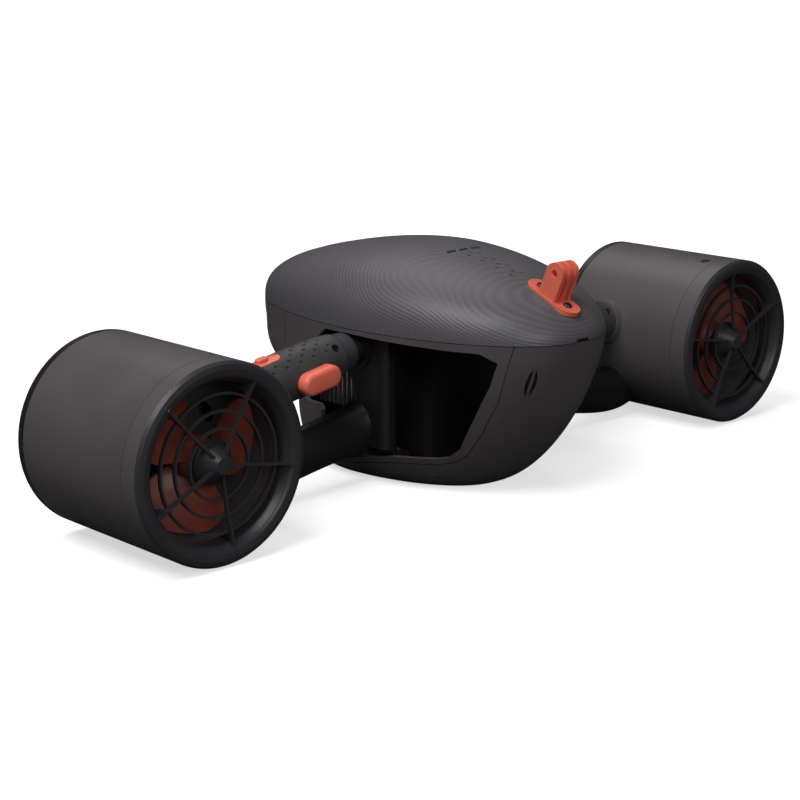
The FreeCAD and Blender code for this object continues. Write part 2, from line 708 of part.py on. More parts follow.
def make_core():
    """The sealed box with the battery and the electronics, and its rear lid."""
    wall = size("core_wall")
    case = rounded_box("core_case", "core_half_width", "core_length", "core_height", "core_corner")
    room = rounded_box("core_room", "core_half_width - core_wall", "core_length",
                       "core_height - 2 * core_wall", "core_corner - core_wall")
    place(case, "0", f"{DUCT_Y} + core_front", "core_floor")
    place(room, "0", f"{DUCT_Y} + core_front + core_wall", "core_floor + core_wall")
    keep(cut("core_housing", case, room), "core_housing")
    lid = rounded_box("core_lid_plate", "core_half_width", "core_wall", "core_height", "core_corner")
    place(lid, "0", f"{DUCT_Y} + core_front + core_length + 1.5", "core_floor")
    keep(lid, "core_lid")
    ring_out = rounded_box("core_seal_outer", "core_half_width - 0.5", "1.5", "core_height - 1",
                           "core_corner - 0.5")
    ring_in = rounded_box("core_seal_inner", "core_half_width - 2.5", "1.5", "core_height - 5",
                          "core_corner - 2.5")
    place(ring_out, "0", f"{DUCT_Y} + core_front + core_length", "core_floor + 0.5")
    place(ring_in, "0", f"{DUCT_Y} + core_front + core_length", "core_floor + 2.5")
    keep(cut("core_seal", ring_out, ring_in), "core_seal")
    battery = block("battery_block", "2 * core_half_width - 20", "core_length - 30", "core_height * 0.55",
                    "-core_half_width + 10", f"{DUCT_Y} + core_front + 12", "core_floor + core_wall + fit_gap")
    keep(battery, "battery_pack")
    board = block("board_block", "2 * core_half_width - 24", "core_length - 36", "1.6",
                  "-core_half_width + 12", f"{DUCT_Y} + core_front + 14",
                  "core_floor + core_wall + 2 * fit_gap + core_height * 0.55")
    keep(board, "control_board")


def rounded_box(name, half_width, length, height, corner):
    """A box along Y with rounded long edges, from Y = 0, centred on X and standing on Z = 0."""
    body = doc.addObject("PartDesign::Body", name)
    plane = [f for f in body.Origin.OriginFeatures if f.Role == "XZ_Plane"][0]
    sketch = body.newObject("Sketcher::SketchObject", name + "_outline")
    sketch.AttachmentSupport = [(plane, "")]
    sketch.MapMode = "FlatFace"
    w = evaluate(half_width)
    tall = evaluate(height)
    spots = [(-w, 0), (w, 0), (w, tall), (-w, tall)]
    for i in range(4):
        a, b = spots[i], spots[(i + 1) % 4]
        sketch.addGeometry(Part.LineSegment(Vec(a[0], a[1], 0), Vec(b[0], b[1], 0)), False)
    for i in range(4):
        sketch.addConstraint(Sketcher.Constraint("Coincident", i, 2, (i + 1) % 4, 1))
    for i in (0, 2):
        sketch.addConstraint(Sketcher.Constraint("Horizontal", i))
    for i in (1, 3):
        sketch.addConstraint(Sketcher.Constraint("Vertical", i))
    sketch.addConstraint(Sketcher.Constraint("Symmetric", 0, 1, 0, 2, -1, 1))
    wide = sketch.addConstraint(Sketcher.Constraint("DistanceX", 0, 1, 0, 2, 2 * w))
    high = sketch.addConstraint(Sketcher.Constraint("DistanceY", 1, 1, 1, 2, tall))
    sketch.setExpression(f"Constraints[{wide}]", cell(f"2 * ({half_width})"))
    sketch.setExpression(f"Constraints[{high}]", cell(height))
    slab = body.newObject("PartDesign::Pad", name + "_pad")
    slab.Profile = sketch
    bind(slab, Length=length)
    slab.Reversed = True
    doc.recompute([sketch, slab])
    names = []
    for i, edge in enumerate(slab.Shape.Edges, start=1):
        if abs(edge.tangentAt(edge.FirstParameter).y) > 0.99:
            names.append(f"Edge{i}")
    round_edge = body.newObject("PartDesign::Fillet", name + "_round")
    round_edge.Base = (slab, names)
    bind(round_edge, Radius=corner)
    body.Tip = round_edge
    doc.recompute([round_edge])
    return body


def make_fins():
    """A row of upright cooling fins on each side of the core."""
    for side, name in SIDES:
        root = "core_half_width + fit_gap"
        start = f"{DUCT_Y} + core_front + core_length - fin_count * fin_pitch - 8"
        plate_x = f"-({root}) - 2" if side == LEFT else root
        items = [block(f"fin_base_{name}", "2", "fin_count * fin_pitch", "fin_height", plate_x, start,
                       "duct_axis_height - fin_height / 2")]
        for i in range(int(size("fin_count"))):
            fin_x = f"-({root}) - 2 - fin_depth" if side == LEFT else f"{root} + 2 - 0.1"
            items.append(block(f"fin_{name}_{i}", "fin_depth + 0.1", "fin_thickness", "fin_height", fin_x,
                               f"{start} + {i} * fin_pitch + fin_pitch / 2", "duct_axis_height - fin_height / 2"))
        keep(fuse("heat_sink_" + name, *items), "heat_sink_" + name)


def cone(name, radius_low, radius_high, height):
    item = doc.addObject("Part::Cone", name)
    return bind(item, Radius1=radius_low, Radius2=radius_high, Height=height)


def arm_frame(side):
    """Placement of a handle: its Z runs outwards from the post and its Y points aft."""
    slope = math.degrees(math.atan2(size("grip_drop"), size("grip_end") - size("grip_start")))
    base = Vec(side * size("post_outer"), behind_duct(size("grip_from_duct")), size("neck_height"))
    return FreeCAD.Placement(base, FreeCAD.Rotation(Y_AXIS, side * (90 + slope)))


def along_arm(across):
    """Distance along a handle from its root to a plane at this distance from the middle."""
    run = size("grip_end") - size("grip_start")
    return (across - size("post_outer")) * math.hypot(run, size("grip_drop")) / run


def in_arm(item, side, across, roll=0, offset=None):
    """Places an object on a handle's axis, rolled about it and then moved by an offset."""
    spot = FreeCAD.Placement(Vec(0, 0, along_arm(across)), FreeCAD.Rotation(Z_AXIS, roll))
    shift = FreeCAD.Placement(offset or Vec(), FreeCAD.Rotation())
    return put(item, arm_frame(side).multiply(spot).multiply(shift))


DUCT_SCREW_BEHIND = 8
DUCT_SCREW_ANGLE = 12


def screw_pit(side, name):
    """The pit and the hole of the screw on top of a thruster, leaning a little towards the hull."""
    pit = cylinder("screw_pit_" + name, "screw_head + 2 * fit_gap", "10")
    hole = cylinder("screw_hole_" + name, "screw_radius + running_clearance", "10")
    wall = size("duct_wall")
    put(pit, duct_screw_frame(side, size("duct_radius") - wall + size("fit_gap")))
    put(hole, duct_screw_frame(side, size("duct_radius") - 2 * wall))
    return pit, hole


def duct_screw_frame(side, height):
    axis = Vec(side * size("duct_spacing") / 2, behind_duct(DUCT_SCREW_BEHIND), size("duct_axis_height"))
    spot = FreeCAD.Placement(axis, FreeCAD.Rotation(Y_AXIS, -side * DUCT_SCREW_ANGLE))
    return spot.multiply(FreeCAD.Placement(Vec(0, 0, height), FreeCAD.Rotation()))


SPOKE_START = {LEFT: -10, RIGHT: 170}
RING_FRONT = -10.8
SPOKE_PROFILE = [
    (7, -12.6), (30, -12.4), (49, -13.9), (54, -15.3), (55, -13), (50, -10), (47.6, -1), (46, -1),
    (43, -9.8), (30, -10.4), (8, -10.4),
]


def guard_bars(side):
    """Cone, spokes and wire rings of the intake guard, about Z with the duct joint at Z = 0."""
    tip = size("lip_length")
    nose = Part.makeCone(size("guard_tip_radius"), size("guard_cone_radius"), tip - 4, Vec(0, 0, -tip), Z_AXIS)
    pieces = []
    thick = size("spoke_thickness")
    corners = [Vec(r, -thick / 2, z) for r, z in SPOKE_PROFILE]
    spoke = Part.Face(Part.makePolygon(corners + corners[:1])).extrude(Vec(0, thick, 0))
    count = int(size("guard_spokes"))
    for i in range(count):
        bar = spoke.copy()
        bar.rotate(Vec(), Z_AXIS, -(SPOKE_START[side] + i * 360 / count))
        pieces.append(bar)
    half = size("guard_ring_thickness") / 2
    deep = size("guard_ring_depth")
    front = Vec(0, 0, RING_FRONT)
    for word in ("guard_ring_inner", "guard_ring_middle", "guard_ring_outer"):
        outer = Part.makeCylinder(size(word) + half, deep, front, Z_AXIS)
        pieces.append(outer.cut(Part.makeCylinder(size(word) - half, 2 * deep, front - Vec(0, 0, deep / 2), Z_AXIS)))
    return nose.fuse(pieces).removeSplitter()


BOSS_LENGTH = "22"
BOSS_BORE_LENGTH = "40"


def make_ducts():
    """The fixed pieces of a thruster, each turned round its own axis."""
    for side, name in SIDES:
        shell = turned_body("duct_body_" + name, [
            ("tunnel_radius", "0.3"), ("tunnel_radius + duct_wall", "0.3"),
            ("tunnel_radius + duct_wall", "duct_length / 2 - 2"), ("duct_radius - duct_wall", "duct_length / 2 - 2"),
            ("duct_radius - duct_wall", "0.3"), ("duct_radius", "0.3"),
            ("duct_radius", "duct_length"), ("duct_radius - duct_wall", "duct_length"),
            ("duct_radius - duct_wall", "duct_length / 2 + 2"),
            ("tunnel_radius + duct_wall", "duct_length / 2 + 2"),
            ("tunnel_radius + duct_wall", "duct_length"), ("tunnel_radius", "duct_length"),
        ])
        in_duct(shell, side)
        boss = cone("boss_cone_" + name, "boss_radius", "boss_flare", BOSS_LENGTH)
        in_arm(boss, side, size("grip_end") + size("fit_gap"))
        core = in_duct(cylinder("boss_core_" + name, "duct_radius - duct_wall / 2", "duct_length"), side)
        boss = cut("boss_" + name, boss, core)
        bore = cylinder("boss_bore_" + name, "tube_radius + running_clearance", BOSS_BORE_LENGTH)
        in_arm(bore, side, size("grip_end") - 5)
        pits = group("duct_pits_" + name, bore, *screw_pit(side, name))
        shell = cut("duct_shell_" + name, fuse("duct_with_boss_" + name, shell, boss), pits)
        keep(shell, "duct_shell_" + name)
        lip = turned_body("intake_body_" + name, [
            ("tunnel_radius", "lip_length"), ("tunnel_radius", "lip_length / 2"),
            ("spoke_reach - 2.5", "0.8"), ("spoke_reach + 2", "0"), ("duct_radius - 1.6", "0.8"),
            ("duct_radius", "3"), ("duct_radius", "lip_length"),
        ], [("spoke_reach - 2.5", "0.8", "4"), ("tunnel_radius", "lip_length / 2", "6")])
        in_duct(lip, side, "-lip_length")
        bars = doc.addObject("Part::Feature", "guard_bars_" + name)
        bars.Shape = guard_bars(side)
        in_duct(bars, side)
        keep(fuse("intake_guard_" + name, lip, bars), "intake_guard_" + name)
        rear = turned_body("rear_body_" + name, [
            ("tunnel_radius", "0"), ("duct_radius", "0"), ("duct_radius", "rear_ring_length"),
            ("tunnel_radius", "rear_ring_length"),
        ], [("duct_radius", "rear_ring_length", "1.5"), ("tunnel_radius", "rear_ring_length", "2.5")])
        in_duct(rear, side, "duct_length + fit_gap")
        keep(rear, "rear_ring_" + name)
        rest = size("duct_wall") - size("fit_gap")
        formed("duct_screw_" + name, small_screw(rest), duct_screw_frame(side, size("duct_radius") - rest))


def make_drives():
    """Propeller, shaft, bearing, motor and motor mount of each thruster."""
    for side, name in SIDES:
        hub = turned_body("hub_body_" + name, [
            ("0", "0"), ("prop_hub_radius * 0.6", "0"), ("prop_hub_radius", "7"),
            ("prop_hub_radius", "prop_hub_length"), ("shaft_radius + running_clearance", "prop_hub_length"),
            ("shaft_radius + running_clearance", "4"), ("0", "4"),
        ], [("prop_hub_radius * 0.6", "0", "4"), ("prop_hub_radius", "7", "5")])
        blades = doc.addObject("Part::Feature", "blades_" + name)
        blades.Shape = propeller_blades(side)
        screw = fuse("propeller_" + name, hub, blades)
        screw.Refine = False
        keep(in_duct(screw, side, "prop_front"), "propeller_" + name)
        shaft = cylinder("shaft_" + name, "shaft_radius", "shaft_length")
        keep(in_duct(shaft, side, "prop_front + 4.1"), "prop_shaft_" + name)
        bearing = turned_body("bearing_body_" + name, [
            ("shaft_radius + running_clearance", "0"), ("motor_radius / 2 - 0.5", "0"),
            ("motor_radius / 2 - 0.5", "6"), ("shaft_radius + running_clearance", "6"),
        ])
        keep(in_duct(bearing, side, "motor_front - 6"), "shaft_seal_" + name)
        motor = turned_body("motor_body_" + name, [
            ("shaft_radius + running_clearance", "0"), ("motor_radius", "0"), ("motor_radius", "motor_length - 12"),
            ("motor_radius * 0.45", "motor_length"), ("0", "motor_length"), ("0", "motor_length * 0.6"),
            ("shaft_radius + running_clearance", "motor_length * 0.6"),
        ], [("motor_radius", "0", "2"), ("motor_radius", "motor_length - 12", "8")])
        keep(in_duct(motor, side, "motor_front"), "motor_" + name)
        ring = turned_body("stator_ring_" + name, [
            ("motor_radius + running_clearance", "0"), ("motor_radius + 2.6", "0"),
            ("motor_radius + 2.6", "vane_depth"), ("motor_radius + running_clearance", "vane_depth"),
        ])
        vanes = [ring]
        for i in range(int(size("stator_vanes"))):
            vane = block(f"vane_{name}_{i}", "tunnel_radius - motor_radius - 1 - 0.15", "vane_thickness",
                         "vane_depth")
            turn = FreeCAD.Rotation(Z_AXIS, 90 + i * 360 / size("stator_vanes"))
            root = turn.multVec(Vec(size("motor_radius") + 1, -size("vane_thickness") / 2, 0))
            vanes.append(put(vane, FreeCAD.Placement(root, turn)))
        stator = fuse("stator_" + name, *vanes)
        keep(in_duct(stator, side, "motor_front + 6"), "motor_mount_" + name)


BLADE_START = {LEFT: 130, RIGHT: 150}
BLADE_CORNER = 12


def propeller_blades(side):
    """Broad screw-shaped blades about Z, leading edge at Z = 1.5, mirrored on the other side."""
    sweep = size("blade_sweep")
    rise = size("blade_rise")
    half = size("blade_thickness") / 2
    inner = size("prop_hub_radius") - 1.5
    outer = size("prop_radius")
    path = Part.makeHelix(rise * 360 / sweep, rise, outer)
    corners = [Vec(inner, 0, -half), Vec(outer + 1, 0, -half), Vec(outer + 1, 0, half), Vec(inner, 0, half)]
    strip = Part.Wire(path).makePipeShell([Part.makePolygon(corners + corners[:1])], True, True)
    turn = math.radians(sweep - 2)
    start = Vec(outer, 0, 0)
    middle = Vec(outer * math.cos(turn / 2), outer * math.sin(turn / 2), 0)
    end = Vec(outer * math.cos(turn), outer * math.sin(turn), 0)
    rim = Part.Arc(start, middle, end).toShape()
    outline = Part.Wire([Part.makeLine(Vec(), start), rim, Part.makeLine(end, Vec())])
    sector = Part.Face(outline).extrude(Vec(0, 0, rise + 6))
    sector.rotate(Vec(), Z_AXIS, 1)
    sector.translate(Vec(0, 0, -3))
    upright = [e for e in sector.Edges if e.BoundBox.ZLength > rise and e.BoundBox.Center.Length > outer / 2]
    sector = sector.makeFillet(BLADE_CORNER, upright)
    single = strip.common(sector)
    single.rotate(Vec(), Z_AXIS, -sweep / 2)
    single.translate(Vec(0, 0, half + 1.5))
    if side == RIGHT:
        single = single.mirror(Vec(), Y_AXIS)
    count = int(size("prop_blades"))
    blades = []
    for i in range(count):
        piece = single.copy()
        piece.rotate(Vec(), Z_AXIS, -(BLADE_START[side] + i * 360 / count))
        blades.append(piece)
    return Part.makeCompound(blades)


def rounded(name, item, radius, pick):
    """Rounds the edges of an object that a test picks out."""
    doc.recompute([item])
    result = doc.addObject("Part::Fillet", name)
    result.Base = item
    result.Edges = [(i, radius, radius) for i, edge in enumerate(item.Shape.Edges, start=1) if pick(edge)]
    return result


def slot_body(label, length, width, depth):
    """A slab with round ends, long in Z, from Y = 0 towards -Y."""
    body = doc.addObject("PartDesign::Body", label)
    plane = [f for f in body.Origin.OriginFeatures if f.Role == "XZ_Plane"][0]
    sketch = body.newObject("Sketcher::SketchObject", label + "_outline")
    sketch.AttachmentSupport = [(plane, "")]
    sketch.MapMode = "FlatFace"
    r = evaluate(f"({width}) / 2")
    half = evaluate(f"(({length}) - ({width})) / 2")
    sketch.addGeometry(Part.LineSegment(Vec(r, -half, 0), Vec(r, half, 0)), False)
    sketch.addGeometry(Part.ArcOfCircle(Part.Circle(Vec(0, half, 0), Z_AXIS, r), 0, math.pi), False)
    sketch.addGeometry(Part.LineSegment(Vec(-r, half, 0), Vec(-r, -half, 0)), False)
    sketch.addGeometry(Part.ArcOfCircle(Part.Circle(Vec(0, -half, 0), Z_AXIS, r), math.pi, 2 * math.pi), False)
    for i in range(4):
        sketch.addConstraint(Sketcher.Constraint("Tangent", i, 2, (i + 1) % 4, 1))
    sketch.addConstraint(Sketcher.Constraint("Symmetric", 1, 3, 3, 3, -1, 1))
    sketch.addConstraint(Sketcher.Constraint("Vertical", 0))
    bend = sketch.addConstraint(Sketcher.Constraint("Radius", 1, r))
    run = sketch.addConstraint(Sketcher.Constraint("DistanceY", 3, 3, 1, 3, 2 * half))
    sketch.setExpression(f"Constraints[{bend}]", cell(f"({width}) / 2"))
    sketch.setExpression(f"Constraints[{run}]", cell(f"({length}) - ({width})"))
    slab = body.newObject("PartDesign::Pad", label + "_pad")
    slab.Profile = sketch
    bind(slab, Length=depth)
    doc.recompute([sketch, slab])
    return body


def round_front(body, label, amount):
    """Rounds the outline of a slab's front face."""
    base = body.Tip
    front = base.Shape.BoundBox.YMin
    names = []
    for i, edge in enumerate(base.Shape.Edges, start=1):
        if edge.BoundBox.YMax < front + 0.01:
            names.append(f"Edge{i}")
    round_edge = body.newObject("PartDesign::Fillet", label + "_round")
    round_edge.Base = (base, names)
    bind(round_edge, Radius=amount)
    body.Tip = round_edge
    doc.recompute([round_edge])


WAIST_RADIUS = "22"
WAIST_LENGTH = "40"
STEP_WIDTH = "10"
STEP_HEIGHT = "4.5"
POST_SCREW_LENGTH = 10


def make_posts():
    """The bracket on each side of the core that carries a handle and a strut."""
    for side, name in SIDES:
        outer = size("post_outer")
        low_x = f"{side} * post_outer" + (" - post_thickness" if side == RIGHT else "")
        pillar = block("post_block_" + name, "post_thickness", "post_depth",
                       "post_head_height - post_foot_height + 1", low_x, f"{DUCT_Y} + post_front",
                       "post_foot_height - 1")
        corner = size("post_thickness") * 0.42
        pillar = rounded("post_round_" + name, pillar, corner, lambda e: e.BoundBox.ZLength > 20)
        waist = cylinder("post_waist_" + name, WAIST_RADIUS, WAIST_LENGTH,
                         f"{side} * post_outer - {WAIST_LENGTH} / 2",
                         f"{DUCT_Y} + post_front + post_waist + {WAIST_RADIUS}", "duct_axis_height - 4",
                         Y_AXIS, 90)
        edge_x = f"{side} * (post_outer - {FOOT_REACH - FOOT_WIDTH})"
        edge_x += f" - {STEP_WIDTH}" if side == LEFT else ""
        edge = block("post_step_" + name, STEP_WIDTH, "post_depth", STEP_HEIGHT, edge_x,
                     f"{DUCT_Y} + post_front", "post_foot_height - 1")
        foot_x = f"{side} * (post_outer - {FOOT_REACH})" + (f" - {FOOT_WIDTH}" if side == LEFT else "")
        foot = block("post_foot_" + name, str(FOOT_WIDTH), "post_depth", "foot_thickness", foot_x,
                     f"{DUCT_Y} + post_front", "post_foot_height - foot_thickness")
        collar = in_arm(cylinder("collar_" + name, "collar_radius", "5"), side, outer - 2)
        neck = cylinder("neck_" + name, "neck_radius", "neck_end - post_outer + 2.25")
        in_arm(neck, side, outer - 2)
        whole = fuse("post_solid_" + name, pillar, foot, collar, neck)
        bore = cylinder("post_bore_" + name, "tube_radius + running_clearance", "60")
        in_arm(bore, side, outer - 8.2)
        holes = []
        for i, spot in enumerate(foot_screws(side, size("post_foot_height") - 10)):
            hole = cylinder(f"foot_hole_{name}_{i}", "screw_radius + 0.2", "12")
            holes.append(put(hole, FreeCAD.Placement(spot, FreeCAD.Rotation())))
        room = doc.addObject("Part::Feature", "panel_room_" + name)
        room.Shape = panel_room(side)
        cuts = group("post_cuts_" + name, waist, edge, bore, room, *holes)
        keep(cut("arm_post_" + name, whole, cuts), "arm_post_" + name)
        screws = []
        for spot in foot_screws(side, size("post_foot_height")):
            screw = small_screw(POST_SCREW_LENGTH)
            screw.translate(spot)
            screws.append(screw)
        formed("post_screws_" + name, Part.makeCompound(screws))


# How far above the front the screw pits of a grip lie, in degrees, and where along the arm.
PIT_ANGLE = 38
PIT_PLACES = (95, 168)

# A length that runs past both ends of a grip.
THROUGH = "200"

# The grip's radius along its length: share of the length and share of the largest radius.
GRIP_FORM = [(0, 0.8), (0.03, 0.885), (0.15, 0.955), (0.45, 1), (0.75, 0.945), (1, 0.855)]


def make_grips():
    """The handle grips with the tube inside them, the triggers and the sliders."""
    for side, name in SIDES:
        sections = []
        start = size("grip_start")
        run = size("grip_end") - start
        for i, (share, fullness) in enumerate(GRIP_FORM):
            ring = doc.addObject("Part::Circle", f"grip_ring_{name}_{i}")
            bind(ring, Radius=f"grip_radius * {fullness}")
            sections.append(in_arm(ring, side, start + share * run))
        skin = doc.addObject("Part::Loft", "grip_skin_" + name)
        skin.Sections = sections
        skin.Solid = True
        tube_hole = cylinder("grip_bore_" + name, "tube_radius + running_clearance", THROUGH)
        in_arm(tube_hole, side, start - 5)
        front = size("trigger_depth") - size("trigger_proud")
        surface = math.sqrt(size("grip_radius") ** 2 - size("trigger_rise") ** 2)
        up = -side * size("trigger_rise")
        trigger = slot_body("trigger_body_" + name, "trigger_length", "trigger_height", "trigger_depth")
        round_front(trigger, "trigger_" + name, "trigger_round")
        in_arm(trigger, side, size("trigger_middle"), 0, Vec(up, front - surface, 0))
        keep(trigger, "trigger_" + name)
        pocket = slot_body("trigger_pocket_" + name, "trigger_length + 2 * fit_gap",
                           "trigger_height + 2 * fit_gap", "30")
        back = front - surface + size("trigger_travel") + size("fit_gap")
        in_arm(pocket, side, size("trigger_middle"), 0, Vec(up, back, 0))
        roll = -side * (180 - size("slider_angle"))
        slider = slot_body("slider_plate_" + name, "slider_length", "slider_width", "8")
        in_arm(slider, side, size("slider_middle"), roll, Vec(0, -size("slider_floor"), 0))
        round_top = in_arm(cylinder("slider_top_" + name, "grip_radius - fit_gap", THROUGH), side, start)
        plate = doc.addObject("Part::Common", "slider_skin_" + name)
        plate.Base = slider
        plate.Tool = round_top
        nub = slot_body("slider_nub_" + name, "slider_length / 3", "slider_width * 0.55", "4.4")
        round_front(nub, "slider_nub_" + name, "1.2")
        in_arm(nub, side, size("slider_middle"), roll, Vec(0, -size("slider_floor") - 0.5, 0))
        keep(fuse("slider_" + name, plate, nub), "slider_" + name)
        rail = slot_body("slider_slot_" + name, "slider_length + slider_travel + 2 * fit_gap",
                         "slider_width + 2 * fit_gap", "12")
        in_arm(rail, side, size("slider_middle") + size("slider_travel") / 2, roll,
               Vec(0, size("fit_gap") - size("slider_floor"), 0))
        tools = [tube_hole, pocket, rail]
        for i, across in enumerate(PIT_PLACES):
            pit = cylinder(f"grip_screw_pit_{name}_{i}", "screw_head", "10")
            in_arm(pit, side, across)
            lean = FreeCAD.Rotation(Z_AXIS, side * -PIT_ANGLE).multiply(FreeCAD.Rotation(X_AXIS, 90))
            out = FreeCAD.Placement(lean.multVec(Vec(0, 0, size("grip_radius") - 5)), lean)
            tools.append(put(pit, pit.Placement.multiply(out)))
        keep(cut("grip_" + name, skin, group("grip_cuts_" + name, *tools)), "grip_" + name)
        outside = cylinder("tube_outside_" + name, "tube_radius", "(grip_end - post_outer) * 1.016 + 15")
        in_arm(outside, side, size("post_outer") - 8)
        inside = cylinder("tube_inside_" + name, "tube_radius - tube_wall", THROUGH)
        in_arm(inside, side, size("post_outer") - 20)
        keep(cut("handle_tube_" + name, outside, inside), "handle_tube_" + name)


# The strut's sections: share of the way to the thruster's axis, height and depth as shares.
STRUT_FORM = [
    (0, 1.12, 1.15), (0.07, 1.02, 1.03), (0.3, 0.98, 0.96), (0.6, 1.02, 1), (0.72, 1, 1.05),
    (0.82, 0.75, 0.9),
]


def make_struts():
    """The lower struts that carry the thrusters."""
    for side, name in SIDES:
        sections = []
        reach = size("duct_spacing") / 2 - size("post_outer")
        for i, (share, tall, deep) in enumerate(STRUT_FORM):
            ring = doc.addObject("Part::Ellipse", f"strut_ring_{name}_{i}")
            bind(ring, MajorRadius=f"strut_half_height * {tall}", MinorRadius=f"strut_half_depth * {deep}")
            drop = min(share / 0.6, 1) * size("strut_drop") - max(share - 0.72, 0) * 30
            spot = Vec(side * (size("post_outer") + share * reach),
                       behind_duct(size("grip_from_duct") - 2 * share), size("strut_height") - drop)
            ring.Placement = FreeCAD.Placement(spot, FreeCAD.Rotation(Y_AXIS, side * 90))
            sections.append(ring)
        skin = doc.addObject("Part::Loft", "strut_skin_" + name)
        skin.Sections = sections
        skin.Solid = True
        room = cylinder("strut_seat_" + name, "duct_radius + fit_gap / 2", "2 * duct_length")
        in_duct(room, side, "-duct_length / 2")
        keep(cut("strut_" + name, skin, room), "strut_" + name)


make_hull()
make_cover()
make_camera_mount()
make_core()
make_fins()
make_window()
make_posts()
make_ducts()
make_drives()
make_grips()
make_struts()
doc.recompute()

failed = [item.Label for item in doc.Objects if "Invalid" in item.State or "Error" in item.State]
for item in NODES:
    shape = item.Shape
    if shape.isNull() or not shape.isValid():
        failed.append(item.Label + " shape")
    print(item.Label, "solids", len(shape.Solids), "volume", round(shape.Volume), shape.BoundBox)
if failed:
    raise RuntimeError("failed objects: " + ", ".join(failed))
for item in NODES:
    item.Shape.exportStep(os.path.join("parts", item.Label + ".step"))
print("nodes", len(NODES))
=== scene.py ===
import json
import math

import bmesh
import bpy
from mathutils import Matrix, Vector


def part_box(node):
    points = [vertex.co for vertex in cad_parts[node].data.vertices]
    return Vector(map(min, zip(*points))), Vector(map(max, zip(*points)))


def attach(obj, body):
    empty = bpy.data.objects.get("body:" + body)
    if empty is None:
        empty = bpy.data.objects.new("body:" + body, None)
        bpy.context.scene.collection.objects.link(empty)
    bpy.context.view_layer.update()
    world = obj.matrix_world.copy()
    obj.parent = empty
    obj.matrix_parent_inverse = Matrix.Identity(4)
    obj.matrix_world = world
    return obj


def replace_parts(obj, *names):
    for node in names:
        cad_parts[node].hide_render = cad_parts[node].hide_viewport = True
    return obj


bl_info = {
    "name": "Underwater scooter",
    "version": (1, 0, 0),
    "blender": (4, 5, 0),
    "location": "View3D > Sidebar > Scooter",
    "description": "Dresses the packed underwater scooter with its finishes and fine pieces",
    "category": "Object",
}

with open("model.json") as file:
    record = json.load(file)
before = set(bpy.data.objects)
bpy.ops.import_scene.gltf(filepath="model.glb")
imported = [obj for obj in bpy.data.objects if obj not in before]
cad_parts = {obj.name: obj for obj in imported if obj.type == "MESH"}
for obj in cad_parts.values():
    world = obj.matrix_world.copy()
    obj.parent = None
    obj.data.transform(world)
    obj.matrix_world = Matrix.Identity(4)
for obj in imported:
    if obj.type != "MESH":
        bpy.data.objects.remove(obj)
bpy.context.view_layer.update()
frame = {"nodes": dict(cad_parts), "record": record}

MM = 0.001
SIDES = ("left", "right")
SIGN = {"left": -1, "right": 1}


def centre(node):
    low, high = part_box(node)
    return (Vector(low) + Vector(high)) / 2


# The thrusters' axes and front joints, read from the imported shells.
SHELL_LOW, SHELL_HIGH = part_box("duct_shell_right")
DUCT_RADIUS = (SHELL_HIGH[2] - SHELL_LOW[2]) / 2
DUCT_X = SHELL_HIGH[0] - DUCT_RADIUS
DUCT_Z = (SHELL_HIGH[2] + SHELL_LOW[2]) / 2
DUCT_Y = SHELL_LOW[1]
LIP_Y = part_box("intake_guard_right")[0][1]


class ScooterColours(bpy.types.PropertyGroup):
    shell: bpy.props.FloatVectorProperty(
        name="Shell", description="Satin paint of the hull and the thrusters",
        default=(0.092, 0.084, 0.090), size=3, subtype="COLOR", min=0, max=1)
    cover: bpy.props.FloatVectorProperty(
        name="Cover", description="Ribbed top cover",
        default=(0.100, 0.096, 0.106), size=3, subtype="COLOR", min=0, max=1)
    black: bpy.props.FloatVectorProperty(
        name="Black plastic", description="Guards, posts, struts and lips",
        default=(0.011, 0.011, 0.0125), size=3, subtype="COLOR", min=0, max=1)
    grip: bpy.props.FloatVectorProperty(
        name="Grip", description="Soft skin of the handles",
        default=(0.050, 0.049, 0.053), size=3, subtype="COLOR", min=0, max=1)
    accent: bpy.props.FloatVectorProperty(
        name="Accent", description="Triggers, sliders, camera mount and propellers",
        default=(0.90, 0.185, 0.115), size=3, subtype="COLOR", min=0, max=1)
    metal: bpy.props.FloatVectorProperty(
        name="Metal", description="Cooling fins and tubes",
        default=(0.78, 0.76, 0.76), size=3, subtype="COLOR", min=0, max=1)


class ScooterSizes(bpy.types.PropertyGroup):
    contour_pitch: bpy.props.FloatProperty(
        name="Contour pitch", description="Distance between two contour lines of the cover",
        default=1.95 * MM, min=0.0005, unit="LENGTH")
    dimple_pitch: bpy.props.FloatProperty(
        name="Dimple pitch", description="Distance between two dimples along the grip",
        default=10.95 * MM, min=0.002, unit="LENGTH")
    dimple_radius: bpy.props.FloatProperty(
        name="Dimple radius", description="Radius of a dimple of the grip",
        default=1.25 * MM, min=0.0002, unit="LENGTH")
    screw_head: bpy.props.FloatProperty(
        name="Screw head", description="Radius of the small screws' heads",
        default=2.75 * MM, min=0.0005, unit="LENGTH")
    grain: bpy.props.FloatProperty(
        name="Grain", description="Size of the moulded grain",
        default=0.35 * MM, min=0.00005, unit="LENGTH")


def colours():
    return bpy.context.scene.scooter_colours


def sizes():
    return bpy.context.scene.scooter_sizes


